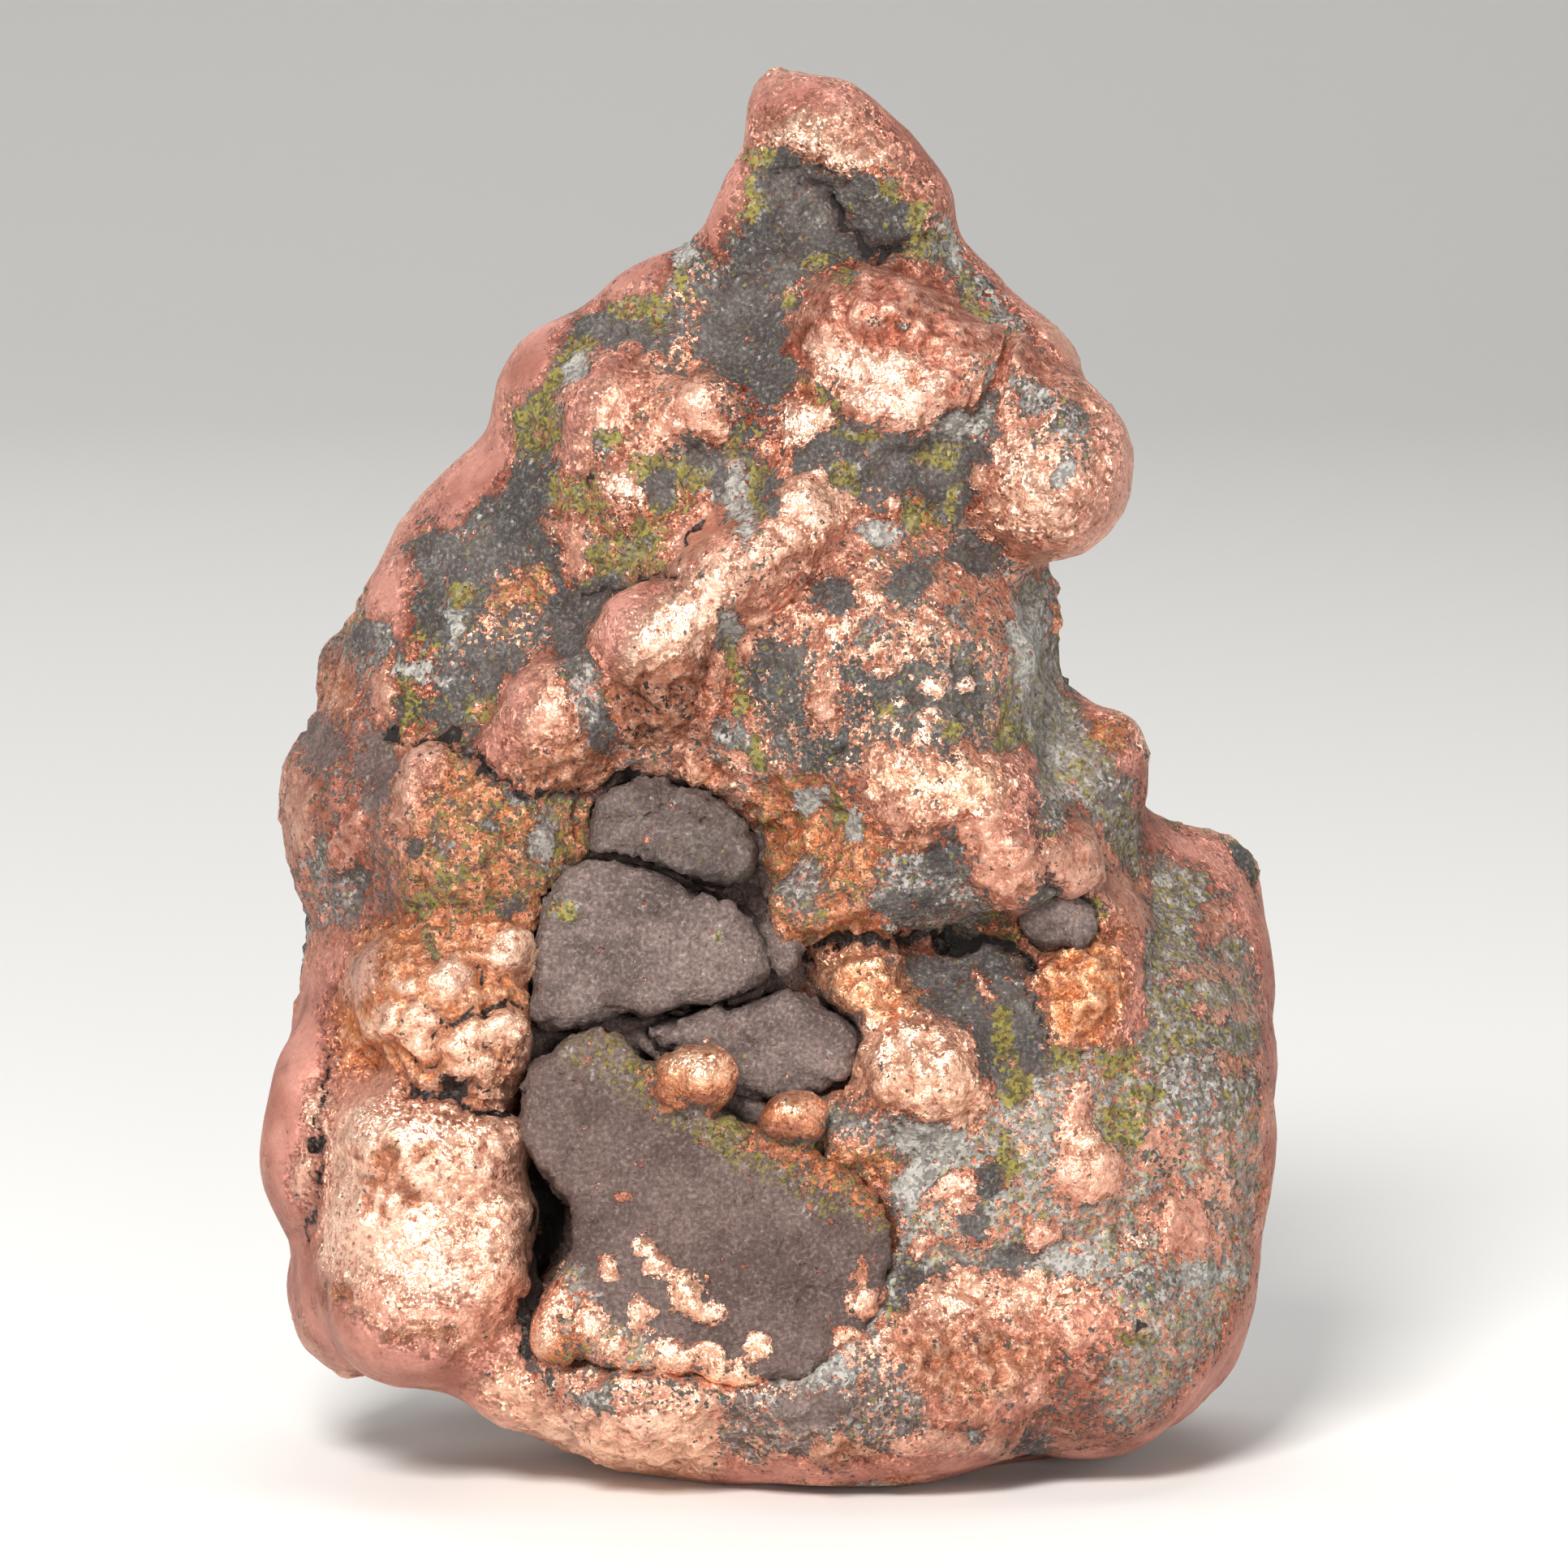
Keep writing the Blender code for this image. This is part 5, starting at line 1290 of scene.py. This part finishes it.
def copper_colour(board, tone, patchy, grain, grit, each):
    """Salmon copper with painted highlights and glints, browner where it is stained, dusty pink on smooth
    lobes.
    """
    calm = 1.0 - board.trait("rim") * RIM_CALM
    colour = board.mix(tone.above(0.1, 0.9), COPPER_DEEP, COPPER_PALE)
    colour = board.mix(board.trait("rust") * grain.above(0.15, 0.85), colour, RUST)
    colour = board.mix(board.trait("gold") * grit.above(0.1, 0.8), colour, GOLD)
    # Painted highlight: pale pink or gold over the copper where the highlight trait is high.
    polish_and_highlight = board.mix(board.trait("gold"), HIGHLIGHT_PINK, HIGHLIGHT_GOLD)
    colour = board.mix(board.trait("glow") * grain.above(0.1, 0.5), colour, polish_and_highlight)
    dusty = board.mix(tone.above(0.2, 0.8), DUST_DEEP, DUST_PALE)
    dusty = board.mix(patchy.above(0.5, 0.85) * 0.4, dusty, DUST_PATCH)
    colour = board.mix(board.trait("rim") * 0.75, colour, dusty)
    busy = calm * (1.0 - board.trait("glow") * 0.6)
    colour = board.mix((1.0 - grit.above(0.12, 0.34)) * busy * 0.6, colour, DARK_SPECK)
    colour = board.shade(colour, 1.0 + (each - 0.5) * busy * 0.55)
    # Painted glints: pale specks on the grains.
    return board.mix(grit.above(0.7, 0.92) * calm * 0.5, colour, PAINTED_GLINT)


def rock_colour(board, tone, specks, fine):
    """Speckled grey basalt, browner in the pocket."""
    dark = board.mix(tone.above(0.1, 0.9), BASALT_DARK, BASALT_PALE)
    dark = board.mix(specks.above(0.5, 0.95) * 0.4, dark, BASALT_SPECK)
    brown = board.mix(tone.above(0.1, 0.9), POCKET_DARK, POCKET_PALE)
    brown = board.mix(specks.above(0.5, 0.95) * 0.35, brown, POCKET_SPECK)
    colour = board.mix(board.trait("brown"), dark, brown)
    return board.shade(colour, 0.6 + 0.8 * fine)


def nugget_finish(name):
    """Copper and rock, mixed by the traits kept on the mesh."""
    board = Board(name)
    broad = board.clouds(3.4, 2.0)
    patchy = board.clouds(0.9, 4.0, 0.65)
    spotty = board.clouds(0.42, 3.0, 0.6)
    fine = board.clouds(0.17, 2.0, 0.6)
    facet, crystal_number = board.facets(0.2)
    sliver, _ = board.facets(0.11)
    first, second, third = board.cells(0.15)
    grit = fine * 0.4 + crystal_number * 0.3 + first * 0.3
    grain = spotty * 0.6 + grit * 0.4
    edge = ((patchy * 0.34 + spotty * 0.26 + first * 0.4) - 0.5) * 1.45 + 0.5
    copper = (board.trait("copper") - edge).above(-0.04, 0.04)
    chalk = (board.trait("chalk") - (spotty * 0.5 + second * 0.5)).above(-0.16, 0.2)
    olive = (board.trait("olive") - (1.0 - spotty * 0.5 - third * 0.5)).above(-0.12, 0.14)
    speck_number = second * 0.5 + fine * 0.5
    metal = copper_colour(board, broad, patchy, grain, grit, third)
    rock = rock_colour(board, broad, speck_number, fine)
    rock = board.mix(chalk * 0.8, rock, board.mix(third.above(0.1, 0.9), CALCITE_GREY, CALCITE_WHITE))
    rock = board.mix(olive * 0.85, rock, board.mix(first.above(0.1, 0.9), EPIDOTE_DARK, EPIDOTE_PALE))
    colour = board.mix(copper, rock, metal)
    # Real dirt and stains and painted shade darken the colour towards brown and take the metal away.
    dirt = board.trait("dirt")
    # Painted black shadow where the darkening is deepest, in cracks, clefts and gaps.
    gap_shadow = (dirt + (edge - 0.5) * 0.25).above(0.62, 0.74)
    colour = board.mix(dirt * (1.15 - grain * 0.6) * 0.85, colour, DIRT_AND_SHADE_BROWN)
    colour = board.mix(gap_shadow * 0.95, colour, GAP_SHADOW_BLACK)
    board.feed(board.shader.inputs["Base Color"], colour)
    metallic = copper * (1.0 - dirt) * (0.92 - board.trait("rim") * 0.45)
    board.feed(board.shader.inputs["Metallic"], metallic)
    polish_and_highlight = 0.36 - board.trait("glow") * 0.08
    smooth = polish_and_highlight + board.trait("rim") * 0.14 + board.trait("rust") * 0.12 + crystal_number * 0.12
    board.feed(board.shader.inputs["Roughness"], copper * smooth + (1.0 - copper) * (0.85 - chalk * 0.3))
    calm = 1.0 - board.trait("rim") * RIM_CALM
    height = (fine * 0.5 + spotty * 0.5 + (facet * 0.9 + sliver * 0.4) * copper) * calm + copper * 0.4
    bump = board.add("ShaderNodeBump", {}, {"Strength": 0.7, "Distance": 0.08 * MM, "Height": height})
    board.feed(board.shader.inputs["Normal"], bump.outputs[0])
    return board.material


def plain_finish(name, colour, roughness):
    """The studio floor."""
    board = Board(name)
    board.feed(board.shader.inputs["Base Color"], colour)
    board.feed(board.shader.inputs["Roughness"], roughness)
    return board.material


# ---- Studio -------------------------------------------------------------------------------------------

# The floor's bend is drawn in this many straight steps.
BEND_STEPS = 12


def make_floor():
    """A pale floor that curves up behind the nugget."""
    near, bend, far, top, half = -0.9, 0.45, 0.75, 0.6, 0.8
    radius = far - bend
    profile = [(near, 0.0), (bend, 0.0)]
    for step in range(1, BEND_STEPS + 1):
        turn = math.radians(90.0 * step / BEND_STEPS)
        profile.append((bend + radius * math.sin(turn), radius - radius * math.cos(turn)))
    profile.append((far, top))
    verts = [(side * half, y, z) for y, z in profile for side in (-1, 1)]
    faces = [(2 * i, 2 * i + 1, 2 * i + 3, 2 * i + 2) for i in range(len(profile) - 1)]
    mesh = bpy.data.meshes.new("studio_floor")
    mesh.from_pydata(verts, [], faces)
    mesh.polygons.foreach_set("use_smooth", np.ones(len(faces), bool))
    floor = bpy.data.objects.new("studio_floor", mesh)
    bpy.context.scene.collection.objects.link(floor)
    mesh.materials.append(plain_finish("studio_paper", PAPER, 0.9))


def soft_light(name, place, size, power, colour):
    """A soft box that faces the middle of the nugget."""
    lamp = bpy.data.lights.new(name, "AREA")
    lamp.size = size
    lamp.energy = power
    lamp.color = colour
    light = bpy.data.objects.new(name, lamp)
    light.location = place
    light.rotation_mode = "QUATERNION"
    light.rotation_quaternion = (EYE_TARGET - Vector(place)).to_track_quat("-Z", "Y")
    bpy.context.scene.collection.objects.link(light)


def make_studio():
    """The lights, the pale room and the floor."""
    soft_light("key", (-0.1, -0.42, 0.32), 0.14, 3.9, (1.0, 0.965, 0.935))
    soft_light("front", (0.1, -0.62, 0.1), 0.12, 1.15, (1.0, 0.975, 0.95))
    soft_light("right", (0.45, -0.1, 0.2), 0.25, 0.5, (1.0, 1.0, 1.0))
    soft_light("left", (-0.45, 0.0, 0.2), 0.25, 0.3, (1.0, 1.0, 1.0))
    soft_light("behind", (-0.2, 0.4, 0.34), 0.25, 0.6, (1.0, 0.98, 0.96))
    soft_light("top", (0.05, 0.12, 0.5), 0.25, 0.8, (1.0, 1.0, 1.0))
    world = bpy.data.worlds.new("pale_room")
    world.use_nodes = True
    world.node_tree.nodes["Background"].inputs["Color"].default_value = (0.9, 0.93, 0.95, 1.0)
    world.node_tree.nodes["Background"].inputs["Strength"].default_value = 0.11
    bpy.context.scene.world = world
    make_floor()


def make_camera():
    """A long lens that looks a little down on the nugget."""
    lens = bpy.data.cameras.new("eye")
    lens.lens = EYE_LENS
    lens.sensor_width = FILM
    lens.clip_start = 0.01
    camera = bpy.data.objects.new("eye", lens)
    camera.location = EYE_TARGET + TO_EYE * EYE_DISTANCE
    camera.rotation_mode = "QUATERNION"
    camera.rotation_quaternion = (-TO_EYE).to_track_quat("-Z", "Y")
    bpy.context.scene.collection.objects.link(camera)
    bpy.context.scene.camera = camera


def main():
    """The camera, the studio, then the nugget and the loose rocks in its pocket."""
    bpy.context.scene.view_settings.view_transform = "Standard"
    make_camera()
    make_studio()
    dress_nugget(nugget_finish("copper_in_basalt"))
    pocket_rock = nugget_finish("pocket_basalt")
    for node in ROCK_MARKS:
        dress_rock(node, pocket_rock)


main()
